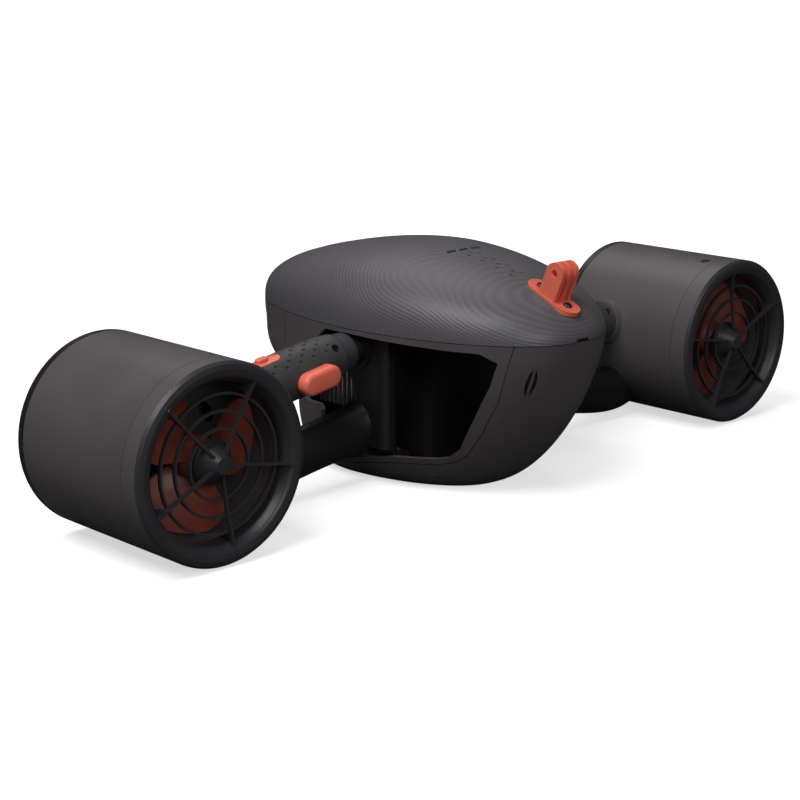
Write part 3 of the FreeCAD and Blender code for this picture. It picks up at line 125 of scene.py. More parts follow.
# Shader maths
class Term:
    """A socket of a material's tree; arithmetic on it adds Math nodes."""

    def __init__(self, tree, socket):
        self.tree = tree
        self.socket = socket

    def node(self, kind, settings=None, output=0, **inputs):
        """Adds a node, its settings first, then its inputs by name or by number."""
        made = self.tree.nodes.new(kind)
        for key, value in (settings or {}).items():
            setattr(made, key, value)
        for key, value in inputs.items():
            name = int(key[1:]) if key[1:].isdigit() else key.replace("_", " ")
            target = made.inputs[name]
            if isinstance(value, Term):
                self.tree.links.new(value.socket, target)
            else:
                target.default_value = value
        return Term(self.tree, made.outputs[output])

    def maths(self, operation, *others):
        inputs = {f"n{i}": value for i, value in enumerate(others)}
        return self.node("ShaderNodeMath", {"operation": operation}, **inputs)

    def __add__(self, other):
        return self.maths("ADD", self, other)

    def __radd__(self, other):
        return self.maths("ADD", other, self)

    def __sub__(self, other):
        return self.maths("SUBTRACT", self, other)

    def __mul__(self, other):
        return self.maths("MULTIPLY", self, other)

    def sin(self):
        return self.maths("SINE", self)

    def root(self):
        return self.maths("SQRT", self)

    def size(self):
        return self.maths("ABSOLUTE", self)

    def over(self, other):
        return self.maths("GREATER_THAN", self, other)

    def ramp(self, low, high, to_low=0.0, to_high=1.0):
        """Runs smoothly from one value to another while the term goes from low to high."""
        return self.node("ShaderNodeMapRange", {"interpolation_type": "SMOOTHSTEP"},
                         n0=self, n1=low, n2=high, n3=to_low, n4=to_high)

    def noise(self, spot, scale, detail):
        return self.node("ShaderNodeTexNoise", Vector=spot, Scale=scale, Detail=detail)

    def mix(self, first, second):
        """The first colour where the term is 0 and the second where it is 1."""
        return self.node("ShaderNodeMix", {"data_type": "RGBA"}, output=2, n0=self, n6=first, n7=second)


class Finish:
    """A material with one Principled shader and the object's coordinates to draw on."""

    def __init__(self, name):
        self.material = bpy.data.materials.new(name)
        self.material.use_nodes = True
        self.tree = self.material.node_tree
        self.shader = self.tree.nodes["Principled BSDF"]
        base = Term(self.tree, None)
        self.spot = base.node("ShaderNodeTexCoord", output=3)
        parts = self.tree.nodes.new("ShaderNodeSeparateXYZ")
        self.tree.links.new(self.spot.socket, parts.inputs[0])
        self.x, self.y, self.z = [Term(self.tree, parts.outputs[i]) for i in range(3)]

    def set(self, **values):
        for key, value in values.items():
            target = self.shader.inputs[key.replace("_", " ")]
            if isinstance(value, Term):
                self.tree.links.new(value.socket, target)
            elif key == "Base_Color":
                target.default_value = (*value[:3], 1)
            else:
                target.default_value = value

    def bump(self, height, depth):
        """Raises the surface by a height from 0 to 1, times a depth in metres."""
        bumped = self.x.node("ShaderNodeBump", Height=height, Distance=depth)
        self.tree.links.new(bumped.socket, self.shader.inputs["Normal"])

    def grain(self, detail=2.0):
        """The moulded grain that every plastic of the scooter has."""
        return self.x.noise(self.spot, 1 / sizes().grain, detail)

    def cloud(self, scale, detail=2.0):
        """A soft unevenness, with this many patches to the metre."""
        return self.x.noise(self.spot, scale, detail)


def shade(colour, factor):
    return tuple(min(1.0, c * factor) for c in colour[:3])


def four(colour):
    return (*colour[:3], 1)


# How deep the grain is: on paint, on smooth plastic and on plain plastic.
PAINT_GRAIN = 0.012 * MM
SMOOTH_GRAIN = 0.01 * MM
PLAIN_GRAIN = 0.015 * MM


def moulded(name, colour, roughness, grain_depth, streaks=0.04):
    """Plastic with a fine moulded grain and slightly uneven sheen."""
    finish = Finish(name)
    grain = finish.grain()
    cloud = finish.cloud(18.0, 3.0)
    finish.set(
        Base_Color=cloud.ramp(0.3, 0.7).mix(four(shade(colour, 0.93)), four(shade(colour, 1.07))),
        Roughness=roughness + (cloud - 0.5) * streaks + (grain - 0.5) * 0.08)
    finish.bump(grain, grain_depth)
    return finish.material


# The contour lines follow a tilted plane that a slow noise bends by this much.
CONTOUR_BEND = 26 * MM
CONTOUR_TILT = (-0.12, -0.5)
CONTOUR_DEPTH = 0.09 * MM


def cover_finish():
    """Satin plastic with fine wavy contour lines."""
    finish = Finish("contoured_cover")
    colour = colours().cover
    drift = finish.cloud(11.0, 1.0)
    across, aft = CONTOUR_TILT
    field = finish.z + finish.y * aft + finish.x * across + drift * CONTOUR_BEND
    wave = (field * (2 * math.pi / sizes().contour_pitch)).sin() * 0.5 + 0.5
    grain = finish.grain()
    finish.set(
        Base_Color=wave.mix(four(shade(colour, 0.86)), four(shade(colour, 1.07))),
        Roughness=0.42 + (grain - 0.5) * 0.1 + wave * 0.05)
    finish.bump(wave * 0.8 + grain * 0.12, CONTOUR_DEPTH)
    return finish.material


def accent_finish(name, roughness):
    return moulded(name, colours().accent, roughness, SMOOTH_GRAIN, 0.05)


# How finely the draw lines repeat across, along and up the metal.
DRAW_LINES = (2500, 2500, 60)


def fin_finish():
    """Bright extruded metal with fine draw lines."""
    finish = Finish("bright_fins")
    drawn = finish.spot.node("ShaderNodeVectorMath", {"operation": "MULTIPLY"},
                             n0=finish.spot, n1=DRAW_LINES)
    lines = finish.x.noise(drawn, 1.0, 2.0)
    colour = colours().metal
    finish.set(Base_Color=lines.mix(four(shade(colour, 0.8)), four(colour)), Metallic=0.95,
               Roughness=0.22 + lines * 0.18)
    finish.bump(lines, SMOOTH_GRAIN)
    return finish.material


def patchy(name, scale, first, second, metallic, roughness, spread):
    """A surface that drifts between two colours, and in roughness with them."""
    finish = Finish(name)
    cloud = finish.cloud(scale)
    finish.set(Base_Color=cloud.mix(four(first), four(second)), Metallic=metallic,
               Roughness=roughness + cloud * spread)
    return finish.material


def steel_finish():
    return patchy("plain_steel", 300.0, (0.32, 0.32, 0.33), (0.5, 0.5, 0.51), 1.0, 0.28, 0.15)


def dark_steel_finish():
    return patchy("dark_steel", 400.0, (0.05, 0.05, 0.052), (0.10, 0.10, 0.104), 0.9, 0.32, 0.15)


def window_finish():
    return patchy("display_glass", 30.0, (0.008, 0.008, 0.009), (0.014, 0.014, 0.016), 0.0, 0.08, 0.04)


# Where the grips run: the axis starts on the post's outer face and falls towards the thruster.
ARM_SLOPE = math.atan2(15.6, 87.7)
ROOT_ACROSS = 0.069
ROOT_HEIGHT = 0.0923
AFT = Vector((0, 1, 0))
GRIP_ROOT = {}
GRIP_AXIS = {}
GRIP_UP = {}
for side in SIDES:
    GRIP_AXIS[side] = Vector((SIGN[side] * math.cos(ARM_SLOPE), 0, -math.sin(ARM_SLOPE)))
    GRIP_UP[side] = Vector((SIGN[side] * math.sin(ARM_SLOPE), 0, math.cos(ARM_SLOPE)))
    GRIP_ROOT[side] = Vector((SIGN[side] * ROOT_ACROSS, centre("handle_tube_" + side).y, ROOT_HEIGHT))


def along_arm(across):
    """Distance along a handle from its root to a plane at this distance from the middle."""
    return (across - ROOT_ACROSS) / math.cos(ARM_SLOPE)


def arm_out(side, degrees):
    """Direction out of a handle, in degrees over its front."""
    turn = math.radians(degrees)
    return GRIP_UP[side] * math.sin(turn) - AFT * math.cos(turn)


def arm_spot(side, along, degrees=0, radius=0):
    return GRIP_ROOT[side] + GRIP_AXIS[side] * along + arm_out(side, degrees) * radius


# The screws: those of the mount about its bore, the duct screws behind the front joint, the pits
# of the grips over their front and along the arm, and the heads of the post screws.
MOUNT_TILT = math.radians(23)
MOUNT_REACH = 17 * MM
MOUNT_SCREW_HALF = 12.4 * MM
DUCT_SCREW_BEHIND = 7.7 * MM
DUCT_SCREW_SINK = 2.2 * MM
DUCT_SCREW_LEAN = math.radians(12)
PIT_ANGLE = 38
PIT_FLOOR = 11.5 * MM
PIT_RADIUS = 2.9 * MM
PIT_PLACES = (0.095, 0.168)
HEAD_RADIUS = 2.9 * MM
HEAD_HEIGHT = 1.6 * MM


def facing(out):
    """The turn that points Z along a direction."""
    return Vector(out).to_track_quat("Z", "Y")


def mount_frames():
    """Where the camera mount's two screws stand on its plate."""
    bore = [item for item in frame["record"]["mounts"] if item["name"] == "camera_bore"][0]["pos_m"]
    out = Vector((0, -math.sin(MOUNT_TILT), math.cos(MOUNT_TILT)))
    aft = Vector((0, math.cos(MOUNT_TILT), math.sin(MOUNT_TILT)))
    middle = Vector((0, bore[1], bore[2])) - out * MOUNT_REACH
    return [(middle + aft * (s * MOUNT_SCREW_HALF), facing(out)) for s in (-1, 1)]


def duct_screw_frames(side):
    lean = -SIGN[side] * DUCT_SCREW_LEAN
    out = Vector((math.sin(lean), 0, math.cos(lean)))
    foot = Vector((SIGN[side] * DUCT_X, DUCT_Y + DUCT_SCREW_BEHIND, DUCT_Z))
    return [(foot + out * (DUCT_RADIUS - DUCT_SCREW_SINK), facing(out))]


def post_screw_frames(side):
    low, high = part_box("post_screws_" + side)
    x = (low[0] + high[0]) / 2
    z = high[2] - HEAD_HEIGHT
    rows = (low[1] + HEAD_RADIUS, high[1] - HEAD_RADIUS)
    return [(Vector((x, y, z)), facing((0, 0, 1))) for y in rows]


def grip_screw_frames(side):
    out = arm_out(side, PIT_ANGLE)
    floors = [arm_spot(side, along_arm(place), PIT_ANGLE, PIT_FLOOR) for place in PIT_PLACES]
    return [(floor, facing(out)) for floor in floors]


# The dimples of a grip stand in slanting rows: angle over the front and place along the arm.
ROW_ANGLE = 13.4
FIRST_ROW = 38.4
ROW_COUNT = 7
COLUMNS = range(-2, 8)
ROW_SHIFT = 4.05 * MM
FIRST_COLUMN = 34.4 * MM
DIMPLE_RANGE = (30 * MM, 88 * MM)
DIMPLE_DEPTH = 1.1 * MM

# The dimples keep clear of the slot: past its ends, and in degrees beside it.
SLOT_MARGIN = 2 * MM
SLOT_CLEAR = 27

# The grip's outline: place along the arm and radius, in millimetres.
GRIP_OUTLINE = ((8.6, 11.9), (9.4, 12.25), (17.6, 13.2), (20.2, 14.5), (31, 15.76), (44, 16.3),
                (57.6, 16.5), (71, 16.25), (84.4, 15.6), (96, 14.8), (105.6, 14.15), (106.5, 13.9))
SHORT_SPAN = 3
GRIP_RINGS = 72
GRIP_SEGMENTS = 112

# Trigger and slider, as the photograph shows them on the grip.
TRIGGER_ALONG = along_arm(0.117)
TRIGGER_LENGTH = 31 * MM
TRIGGER_HEIGHT = 14.4 * MM
TRIGGER_RISE = -3.1 * MM
TRIGGER_FRONT = -24.3 * MM
TRIGGER_BACK = -12.9 * MM
TRIGGER_ROUND = 3.4 * MM
TRIGGER_TRAVEL = 4 * MM
TRIGGER_RIM_STEPS = 8
FIT = 0.35 * MM
SLOT_ALONG = along_arm(0.1485)
SLOT_LENGTH = 33.6 * MM
SLOT_WIDTH = 10.6 * MM
SLOT_FLOOR = 13.25 * MM
SLOT_ANGLE = 86

# How far the cutters of the pocket, the slot and the pits stand out past the skin.
POCKET_REACH = 30 * MM
SLOT_REACH = 12 * MM
PIT_REACH = 10 * MM

# Edges sharper than this, in degrees, stay crisp: on carved pieces and on the triggers.
CRISP_ANGLE = 32
KEY_CRISP_ANGLE = 50


def grip_finish():
    """Soft moulded skin with a fine grain and paler worn patches."""
    finish = Finish("soft_grip")
    colour = colours().grip
    grain = finish.grain(3.0)
    cloud = finish.cloud(45.0, 3.0)
    worn = cloud.ramp(0.35, 0.7)
    finish.set(Base_Color=worn.mix(four(shade(colour, 0.9)), four(shade(colour, 1.12))),
               Roughness=0.50 + (grain - 0.5) * 0.14 + (cloud - 0.5) * 0.05)
    finish.bump(grain, 0.03 * MM)
    return finish.material


# The paint of a guard's band: how thin it lies on the outside, and how far behind the lip it starts.
BAND_DEPTH = 0.45 * MM
BAND_START = 3.2 * MM


def lip_finish():
    """Guard plastic whose outer band is painted like the shell; its black is three times lighter than
    the other black plastic, as painted light on the lip.
    """
    finish = Finish("guard_plastic_painted_light")
    grain = finish.grain()
    # The guard's black is made three times lighter: painted light, for the front light falling on the
    # lip.
    dark, band = shade(colours().black, 3.0), colours().shell
    across, up = finish.x.size() - DUCT_X, finish.z - DUCT_Z
    out = (across * across + up * up).root()
    painted = out.over(DUCT_RADIUS - BAND_DEPTH) * finish.y.over(LIP_Y + BAND_START)
    finish.set(Base_Color=painted.mix(four(dark), four(band)),
               Roughness=0.38 + painted * 0.03 + (grain - 0.5) * 0.08)
    finish.bump(grain, PLAIN_GRAIN)
    return finish.material


def wear(node, material):
    item = frame["nodes"][node]
    item.data.materials.clear()
    item.data.materials.append(material)


# Meshes: vertices nearer than this are merged.
MERGE = 0.01 * MM


def mesh_piece(name, verts, faces, material, smooth=True):
    mesh = bpy.data.meshes.new(name)
    mesh.from_pydata([tuple(v) for v in verts], [], faces)
    mesh.update()
    item = bpy.data.objects.new(name, mesh)
    bpy.context.scene.collection.objects.link(item)
    mesh.materials.append(material)
    if smooth:
        mesh.shade_smooth()
    return item


def outward(item):
    """Merges doubles and points the faces outwards."""
    work = bmesh.new()
    work.from_mesh(item.data)
    bmesh.ops.remove_doubles(work, verts=work.verts, dist=MERGE)
    bmesh.ops.recalc_face_normals(work, faces=work.faces)
    work.to_mesh(item.data)
    work.free()
    item.data.update()
    return item


# The camera: its place, what it looks at, its lens and its sensor's width in millimetres.
CAMERA_PLACE = (-0.857885, -0.879363, 0.352879)
CAMERA_AIM = (-0.03142, -0.0044, 0.05004)
CAMERA_LENS = 83.974
CAMERA_SENSOR = 36
CAMERA_REACH = 50

# Lights: name, place, width and power. They share an aim and a tint.
LIGHTS = (
    ("light_top_left", (-1.15, -0.15, 1.75), 1.3, 30),
    ("light_top_back", (0.55, 0.95, 1.9), 1.4, 9),
    ("light_front", (-0.75, -2.0, 1.0), 0.9, 12),
)
LIGHT_AIM = (0, 0, 0.06)
LIGHT_TINT = (1.0, 0.98, 0.98)

# The floor's half width, and its glow: how much near the object, and where it grows to full.
FLOOR_HALF = 12.0
FLOOR_GLOW = 0.62
FLOOR_FADE = (0.45, 1.3)
ROOM_LIGHT = 0.06


class ScooterStage(bpy.types.Operator):
    """Floor, backdrop light and camera"""
    bl_idname = "scooter.stage"
    bl_label = "Stage"

    def execute(self, context):
        scene = context.scene
        scene.view_settings.view_transform = "Standard"
        camera_data = bpy.data.cameras.new("camera")
        camera_data.lens = CAMERA_LENS
        camera_data.sensor_width = CAMERA_SENSOR
        camera_data.clip_end = CAMERA_REACH
        camera = bpy.data.objects.new("camera", camera_data)
        scene.collection.objects.link(camera)
        camera.location = CAMERA_PLACE
        self.look_at(camera, CAMERA_AIM)
        scene.camera = camera
        corners = [(x * FLOOR_HALF, y * FLOOR_HALF, 0) for x, y in ((-1, -1), (1, -1), (1, 1), (-1, 1))]
        floor = mesh_piece("floor", corners, [(0, 1, 2, 3)], self.floor_finish(), smooth=False)
        for name, place, size, power in LIGHTS:
            data = bpy.data.lights.new(name, "AREA")
            data.shape = "SQUARE"
            data.size = size
            data.energy = power
            data.color = LIGHT_TINT
            lamp = bpy.data.objects.new(name, data)
            scene.collection.objects.link(lamp)
            lamp.location = place
            self.look_at(lamp, LIGHT_AIM)
        self.room(scene)
        return {"FINISHED"}

    def look_at(self, item, aim):
        line = Vector(aim) - item.location
        item.rotation_euler = line.to_track_quat("-Z", "Y").to_euler()

    def floor_finish(self):
        """A floor that the camera sees as white paper with the object's soft shadow on it."""
        finish = Finish("pale_floor")
        seen = finish.x.node("ShaderNodeLightPath", output=0)
        grain = finish.cloud(3.0)
        away = (finish.x * finish.x + finish.y * finish.y).root()
        paper = grain.mix((0.86, 0.86, 0.86, 1), (0.90, 0.90, 0.90, 1))
        glow = seen * away.ramp(*FLOOR_FADE, FLOOR_GLOW, 1.0)
        finish.set(Base_Color=seen.mix((0.06, 0.06, 0.06, 1), paper), Roughness=0.9,
                   Emission_Color=glow.mix((0, 0, 0, 1), (1, 1, 1, 1)), Emission_Strength=1.0)
        return finish.material

    def room(self, scene):
        """A dim room that looks white behind the object."""
        world = bpy.data.worlds.new("room")
        world.use_nodes = True
        tree = world.node_tree
        back = tree.nodes["Background"]
        base = Term(tree, None)
        seen = base.node("ShaderNodeLightPath", output=0)
        back.inputs["Color"].default_value = (1, 1, 1, 1)
        tree.links.new((seen * (1 - ROOM_LIGHT) + ROOM_LIGHT).socket, back.inputs["Strength"])
        scene.world = world


def socket_id(tree, name):
    """The identifier of a node group's input."""
    for item in tree.interface.items_tree:
        if item.item_type == "SOCKET" and item.in_out == "INPUT" and item.name == name:
            return item.identifier
    raise KeyError(name)


SEED = 7


def repeat_group():
    """A node group that sets a shape on every point, turned by the point's own angles."""
    known = bpy.data.node_groups.get("repeat_on_points")
    if known:
        return known
    tree = bpy.data.node_groups.new("repeat_on_points", "GeometryNodeTree")
    tree.interface.new_socket("Geometry", in_out="INPUT", socket_type="NodeSocketGeometry")
    tree.interface.new_socket("Shape", in_out="INPUT", socket_type="NodeSocketObject")
    tree.interface.new_socket("Scale", in_out="INPUT", socket_type="NodeSocketFloat").default_value = 1.0
    tree.interface.new_socket("Turn spread", in_out="INPUT", socket_type="NodeSocketFloat")
    tree.interface.new_socket("Seed", in_out="INPUT", socket_type="NodeSocketInt").default_value = SEED
    tree.interface.new_socket("Material", in_out="INPUT", socket_type="NodeSocketMaterial")
    tree.interface.new_socket("Geometry", in_out="OUTPUT", socket_type="NodeSocketGeometry")
    kinds = {"inlet": "NodeGroupInput", "outlet": "NodeGroupOutput", "shape": "GeometryNodeObjectInfo",
             "turn": "GeometryNodeInputNamedAttribute", "spin": "FunctionNodeRandomValue",
             "join": "ShaderNodeCombineXYZ", "lean": "FunctionNodeRotateRotation",
             "own": "FunctionNodeEulerToRotation", "place": "GeometryNodeInstanceOnPoints",
             "real": "GeometryNodeRealizeInstances", "paint": "GeometryNodeSetMaterial"}
    made = {key: tree.nodes.new(kind) for key, kind in kinds.items()}
    made["turn"].data_type = "FLOAT_VECTOR"
    made["turn"].inputs["Name"].default_value = "turn"
    made["spin"].data_type = "FLOAT"
    made["lean"].rotation_space = "LOCAL"
    spin_out = [out for out in made["spin"].outputs if out.enabled][0]
    spin_in = {item.name: item for item in made["spin"].inputs if item.enabled}
    spin_in["Min"].default_value = 0.0
    links = (
        (made["inlet"].outputs["Shape"], made["shape"].inputs["Object"]),
        (made["inlet"].outputs["Turn spread"], spin_in["Max"]),
        (made["inlet"].outputs["Seed"], spin_in["Seed"]),
        (spin_out, made["join"].inputs["Z"]),
        (made["join"].outputs[0], made["own"].inputs[0]),
        (made["turn"].outputs["Attribute"], made["lean"].inputs["Rotation"]),
        (made["own"].outputs[0], made["lean"].inputs["Rotate By"]),
        (made["inlet"].outputs["Geometry"], made["place"].inputs["Points"]),
        (made["shape"].outputs["Geometry"], made["place"].inputs["Instance"]),
        (made["lean"].outputs[0], made["place"].inputs["Rotation"]),
        (made["inlet"].outputs["Scale"], made["place"].inputs["Scale"]),
        (made["place"].outputs[0], made["real"].inputs[0]),
        (made["real"].outputs[0], made["paint"].inputs["Geometry"]),
        (made["inlet"].outputs["Material"], made["paint"].inputs["Material"]),
        (made["paint"].outputs[0], made["outlet"].inputs[0]),
    )
    for start, end in links:
        tree.links.new(start, end)
    return tree


def evaluated(item):
    """The piece's mesh with its modifiers applied, as a new mesh."""
    bpy.context.view_layer.update()
    graph = bpy.context.evaluated_depsgraph_get()
    return bpy.data.meshes.new_from_object(item.evaluated_get(graph))


def copies(name, shape, frames, material, spread=0.0):
    """Sets copies of a shape at frames (a place and a rotation) as one plain mesh."""
    mesh = bpy.data.meshes.new(name + "_points")
    mesh.from_pydata([tuple(place) for place, turn in frames], [], [])
    turns = mesh.attributes.new("turn", "FLOAT_VECTOR", "POINT")
    for slot, (place, turn) in zip(turns.data, frames):
        slot.vector = tuple(turn.to_euler())
    points = bpy.data.objects.new(name + "_points", mesh)
    bpy.context.scene.collection.objects.link(points)
    tree = repeat_group()
    step = points.modifiers.new("repeat", "NODES")
    step.node_group = tree
    for word, value in (("Shape", shape), ("Scale", 1.0), ("Turn spread", spread), ("Seed", SEED),
                        ("Material", material)):
        step[socket_id(tree, word)] = value
    plain = evaluated(points)
    plain.name = name
    bpy.data.objects.remove(points)
    piece = bpy.data.objects.new(name, plain)
    bpy.context.scene.collection.objects.link(piece)
    for attribute in [a for a in plain.attributes if a.name == "turn"]:
        plain.attributes.remove(attribute)
    if not plain.materials:
        plain.materials.append(material)
    return outward(piece)


# How far a screw's cross may be turned from the next one's, in radians.
SCREW_SPREAD = 1.0


def screws(name, shape, frames, material):
    """Screws at frames, each turned a little differently, that ride on the hull."""
    piece = copies(name, shape, frames, material, SCREW_SPREAD)
    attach(piece, "hull")
    return piece


def lathe(profile, steps):
    """Vertices and faces of a closed form turned about Z; the profile starts and ends on the axis."""
    verts = [(0, 0, profile[0][1])]
    for radius, height in profile[1:-1]:
        for i in range(steps):
            a = 2 * math.pi * i / steps
            verts.append((radius * math.cos(a), radius * math.sin(a), height))
    verts.append((0, 0, profile[-1][1]))
    faces = []
    rings = len(profile) - 2
    for i in range(steps):
        j = (i + 1) % steps
        faces.append((0, 1 + i, 1 + j))
        for r in range(rings - 1):
            a, b = 1 + r * steps, 1 + (r + 1) * steps
            faces.append((a + i, b + i, b + j, a + j))
        last = 1 + (rings - 1) * steps
        faces.append((last + j, last + i, len(verts) - 1))
    return verts, faces


# A screw's end bevel and the short step under its head.
SCREW_BEVEL = 0.3 * MM
SCREW_STEP = 0.05 * MM
ROUND_STEPS = 32

# The head's outline and the cross in it, as shares of the head's radius and height.
HEAD_FORM = ((0.96, 0), (1, 0.12), (0.98, 0.5), (0.86, 0.82), (0.6, 0.97), (0, 1))
CROSS_ARM = 0.62
CROSS_WIDTH = 0.12
CROSS_FLOOR = 0.4
CROSS_TOP = 1.4
CROSS_TAPER = 0.6


def screw_shape(head, tall, shank, length, material):
    """A pan-head screw along Z with a cross recess; its head rests on Z = 0."""
    profile = [(0, -length), (shank * 0.75, -length), (shank, -length + SCREW_BEVEL),
               (shank, -SCREW_STEP)]
    profile += [(head * across, tall * up) for across, up in HEAD_FORM]
    verts, faces = lathe(profile, ROUND_STEPS)
    item = outward(mesh_piece("screw_shape", verts, faces, material))
    arm, wide, low = head * CROSS_ARM, head * CROSS_WIDTH, tall * CROSS_FLOOR
    work = bmesh.new()
    for across, along in ((arm, wide), (wide, arm)):
        box = bmesh.ops.create_cube(work, size=1.0)
        for v in box["verts"]:
            taper = 1.0 if v.co.z > 0 else CROSS_TAPER
            v.co = Vector((v.co.x * 2 * across * taper, v.co.y * 2 * along * taper,
                           low if v.co.z < 0 else tall * CROSS_TOP))
    cross = bpy.data.meshes.new("cross")
    work.to_mesh(cross)
    work.free()
    cutter = bpy.data.objects.new("cross", cross)
    bpy.context.scene.collection.objects.link(cutter)
    sink = item.modifiers.new("sink", "BOOLEAN")
    sink.operation = "DIFFERENCE"
    sink.solver = "EXACT"
    sink.use_self = True
    sink.object = cutter
    plain = evaluated(item)
    item.modifiers.clear()
    item.data = plain
    plain.shade_flat()
    bpy.data.objects.remove(cutter)
    return item


class ScooterShells(bpy.types.Operator):
    """Hull shells, side panels, thruster shells and the top cover"""
    bl_idname = "scooter.shells"
    bl_label = "Shells"

    def execute(self, context):
        shell = moulded("satin_shell", colours().shell, 0.40, PAINT_GRAIN)
        names = ["tail_cover", "lower_hull"]
        for side in SIDES:
            names += ["side_panel_" + side, "duct_shell_" + side]
        for name in names:
            wear(name, shell)
        wear("top_cover", cover_finish())
        wear("display_window", window_finish())
        return {"FINISHED"}


class ScooterFrame(bpy.types.Operator):
    """Posts, struts, guards, rear rings and the sealed core"""
    bl_idname = "scooter.frame"
    bl_label = "Black frame"

    def execute(self, context):
        black = moulded("black_plastic", colours().black, 0.36, PLAIN_GRAIN)
        lip = lip_finish()
        core = moulded("core_plastic", (0.008, 0.008, 0.009), 0.45, SMOOTH_GRAIN)
        rubber = moulded("seal_rubber", (0.012, 0.012, 0.012), 0.7, SMOOTH_GRAIN)
        for side in SIDES:
            for name in ("arm_post_", "strut_", "rear_ring_", "motor_mount_"):
                wear(name + side, black)
            wear("intake_guard_" + side, lip)
            wear("shaft_seal_" + side, rubber)
            wear("motor_" + side, core)
        for name in ("core_housing", "core_lid", "battery_pack"):
            wear(name, core)
        wear("core_seal", rubber)
        wear("control_board", moulded("board_green", (0.02, 0.09, 0.04), 0.5, SMOOTH_GRAIN))
        return {"FINISHED"}


class ScooterMetal(bpy.types.Operator):
    """Cooling fins, tubes, screws and shafts"""
    bl_idname = "scooter.metal"
    bl_label = "Metal"

    def execute(self, context):
        fins = fin_finish()
        steel = steel_finish()
        for side in SIDES:
            wear("heat_sink_" + side, fins)
            wear("handle_tube_" + side, fins)
            wear("prop_shaft_" + side, steel)
        wear("mount_nut", steel)
        dark = dark_steel_finish()
        head = sizes().screw_head
        long_screw = screw_shape(head, 1.5 * MM, 1.5 * MM, 5.5 * MM, dark)
        short_screw = screw_shape(head, 1.5 * MM, 1.5 * MM, 1.6 * MM, dark)
        pit_screw = screw_shape(head * 0.9, 1.4 * MM, 1.2 * MM, 0.4 * MM, dark)
        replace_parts(screws("mount_screw_heads", long_screw, mount_frames(), dark), "mount_screws")
        for side in SIDES:
            piece = screws("duct_screw_head_" + side, short_screw, duct_screw_frames(side), dark)
            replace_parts(piece, "duct_screw_" + side)
            piece = screws("post_screw_heads_" + side, long_screw, post_screw_frames(side), dark)
            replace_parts(piece, "post_screws_" + side)
            screws("grip_screw_heads_" + side, pit_screw, grip_screw_frames(side), dark)
        for item in (long_screw, short_screw, pit_screw):
            bpy.data.objects.remove(item)
        return {"FINISHED"}


class ScooterAccents(bpy.types.Operator):
    """Triggers, sliders, camera mount and propellers"""
    bl_idname = "scooter.accents"
    bl_label = "Accents"

    def execute(self, context):
        accent = accent_finish("accent_plastic", 0.36)
        # The blades wear the accent darkened to 0.28 of itself: painted shade, for the shadow they lie
        # in inside the ducts.
        shaded_blades = moulded("propeller_plastic_painted_shade", shade(colours().accent, 0.28), 0.42, SMOOTH_GRAIN, 0.05)
        wear("camera_mount", accent)
        for side in SIDES:
            wear("slider_" + side, accent)
            wear("propeller_" + side, shaded_blades)
        return {"FINISHED"}


def stadium(length, height, inset=0.0, count=48):
    """Outline points of a slab with round ends: along it and across it."""
    radius = height / 2 - inset
    half = (length - height) / 2
    points = []
    for i in range(count):
        a = 2 * math.pi * (i + 0.5) / count
        shift = half if math.cos(a) > 0 else -half
        points.append((shift + radius * math.cos(a), radius * math.sin(a)))
    return points


def stack(rings):
    """Vertices and faces of a closed form through rings of equally many points."""
    count = len(rings[0])
    verts = [v for ring in rings for v in ring]
    faces = []
    for r in range(len(rings) - 1):
        for i in range(count):
            j = (i + 1) % count
            a, b = r * count, (r + 1) * count
            faces.append((a + i, a + j, b + j, b + i))
    faces.append(tuple(reversed(range(count))))
    faces.append(tuple(range((len(rings) - 1) * count, len(rings) * count)))
    return verts, faces


def slab_on_arm(side, along, length, height, rise, levels, degrees=0):
    """Rings of a slab that stands out of a handle: each level is a reach from the axis and an inset."""
    out = arm_out(side, degrees)
    across = arm_out(side, degrees + 90)
    rings = []
    for reach, inset in levels:
        middle = arm_spot(side, along) + out * reach + across * rise
        outline = stadium(length, height, inset)
        rings.append([middle + GRIP_AXIS[side] * s + across * t for s, t in outline])
    return rings


def carve(item, *cutters):
    """Cuts closed forms out of a piece and leaves a plain mesh with crisp edges."""
    for cutter in cutters:
        step = item.modifiers.new("cut", "BOOLEAN")
        step.operation = "DIFFERENCE"
        step.solver = "EXACT"
        step.object = cutter
    plain = evaluated(item)
    item.modifiers.clear()
    item.data = plain
    for cutter in cutters:
        bpy.data.objects.remove(cutter)
    plain.shade_smooth()
    plain.set_sharp_from_angle(angle=math.radians(CRISP_ANGLE))
    return item


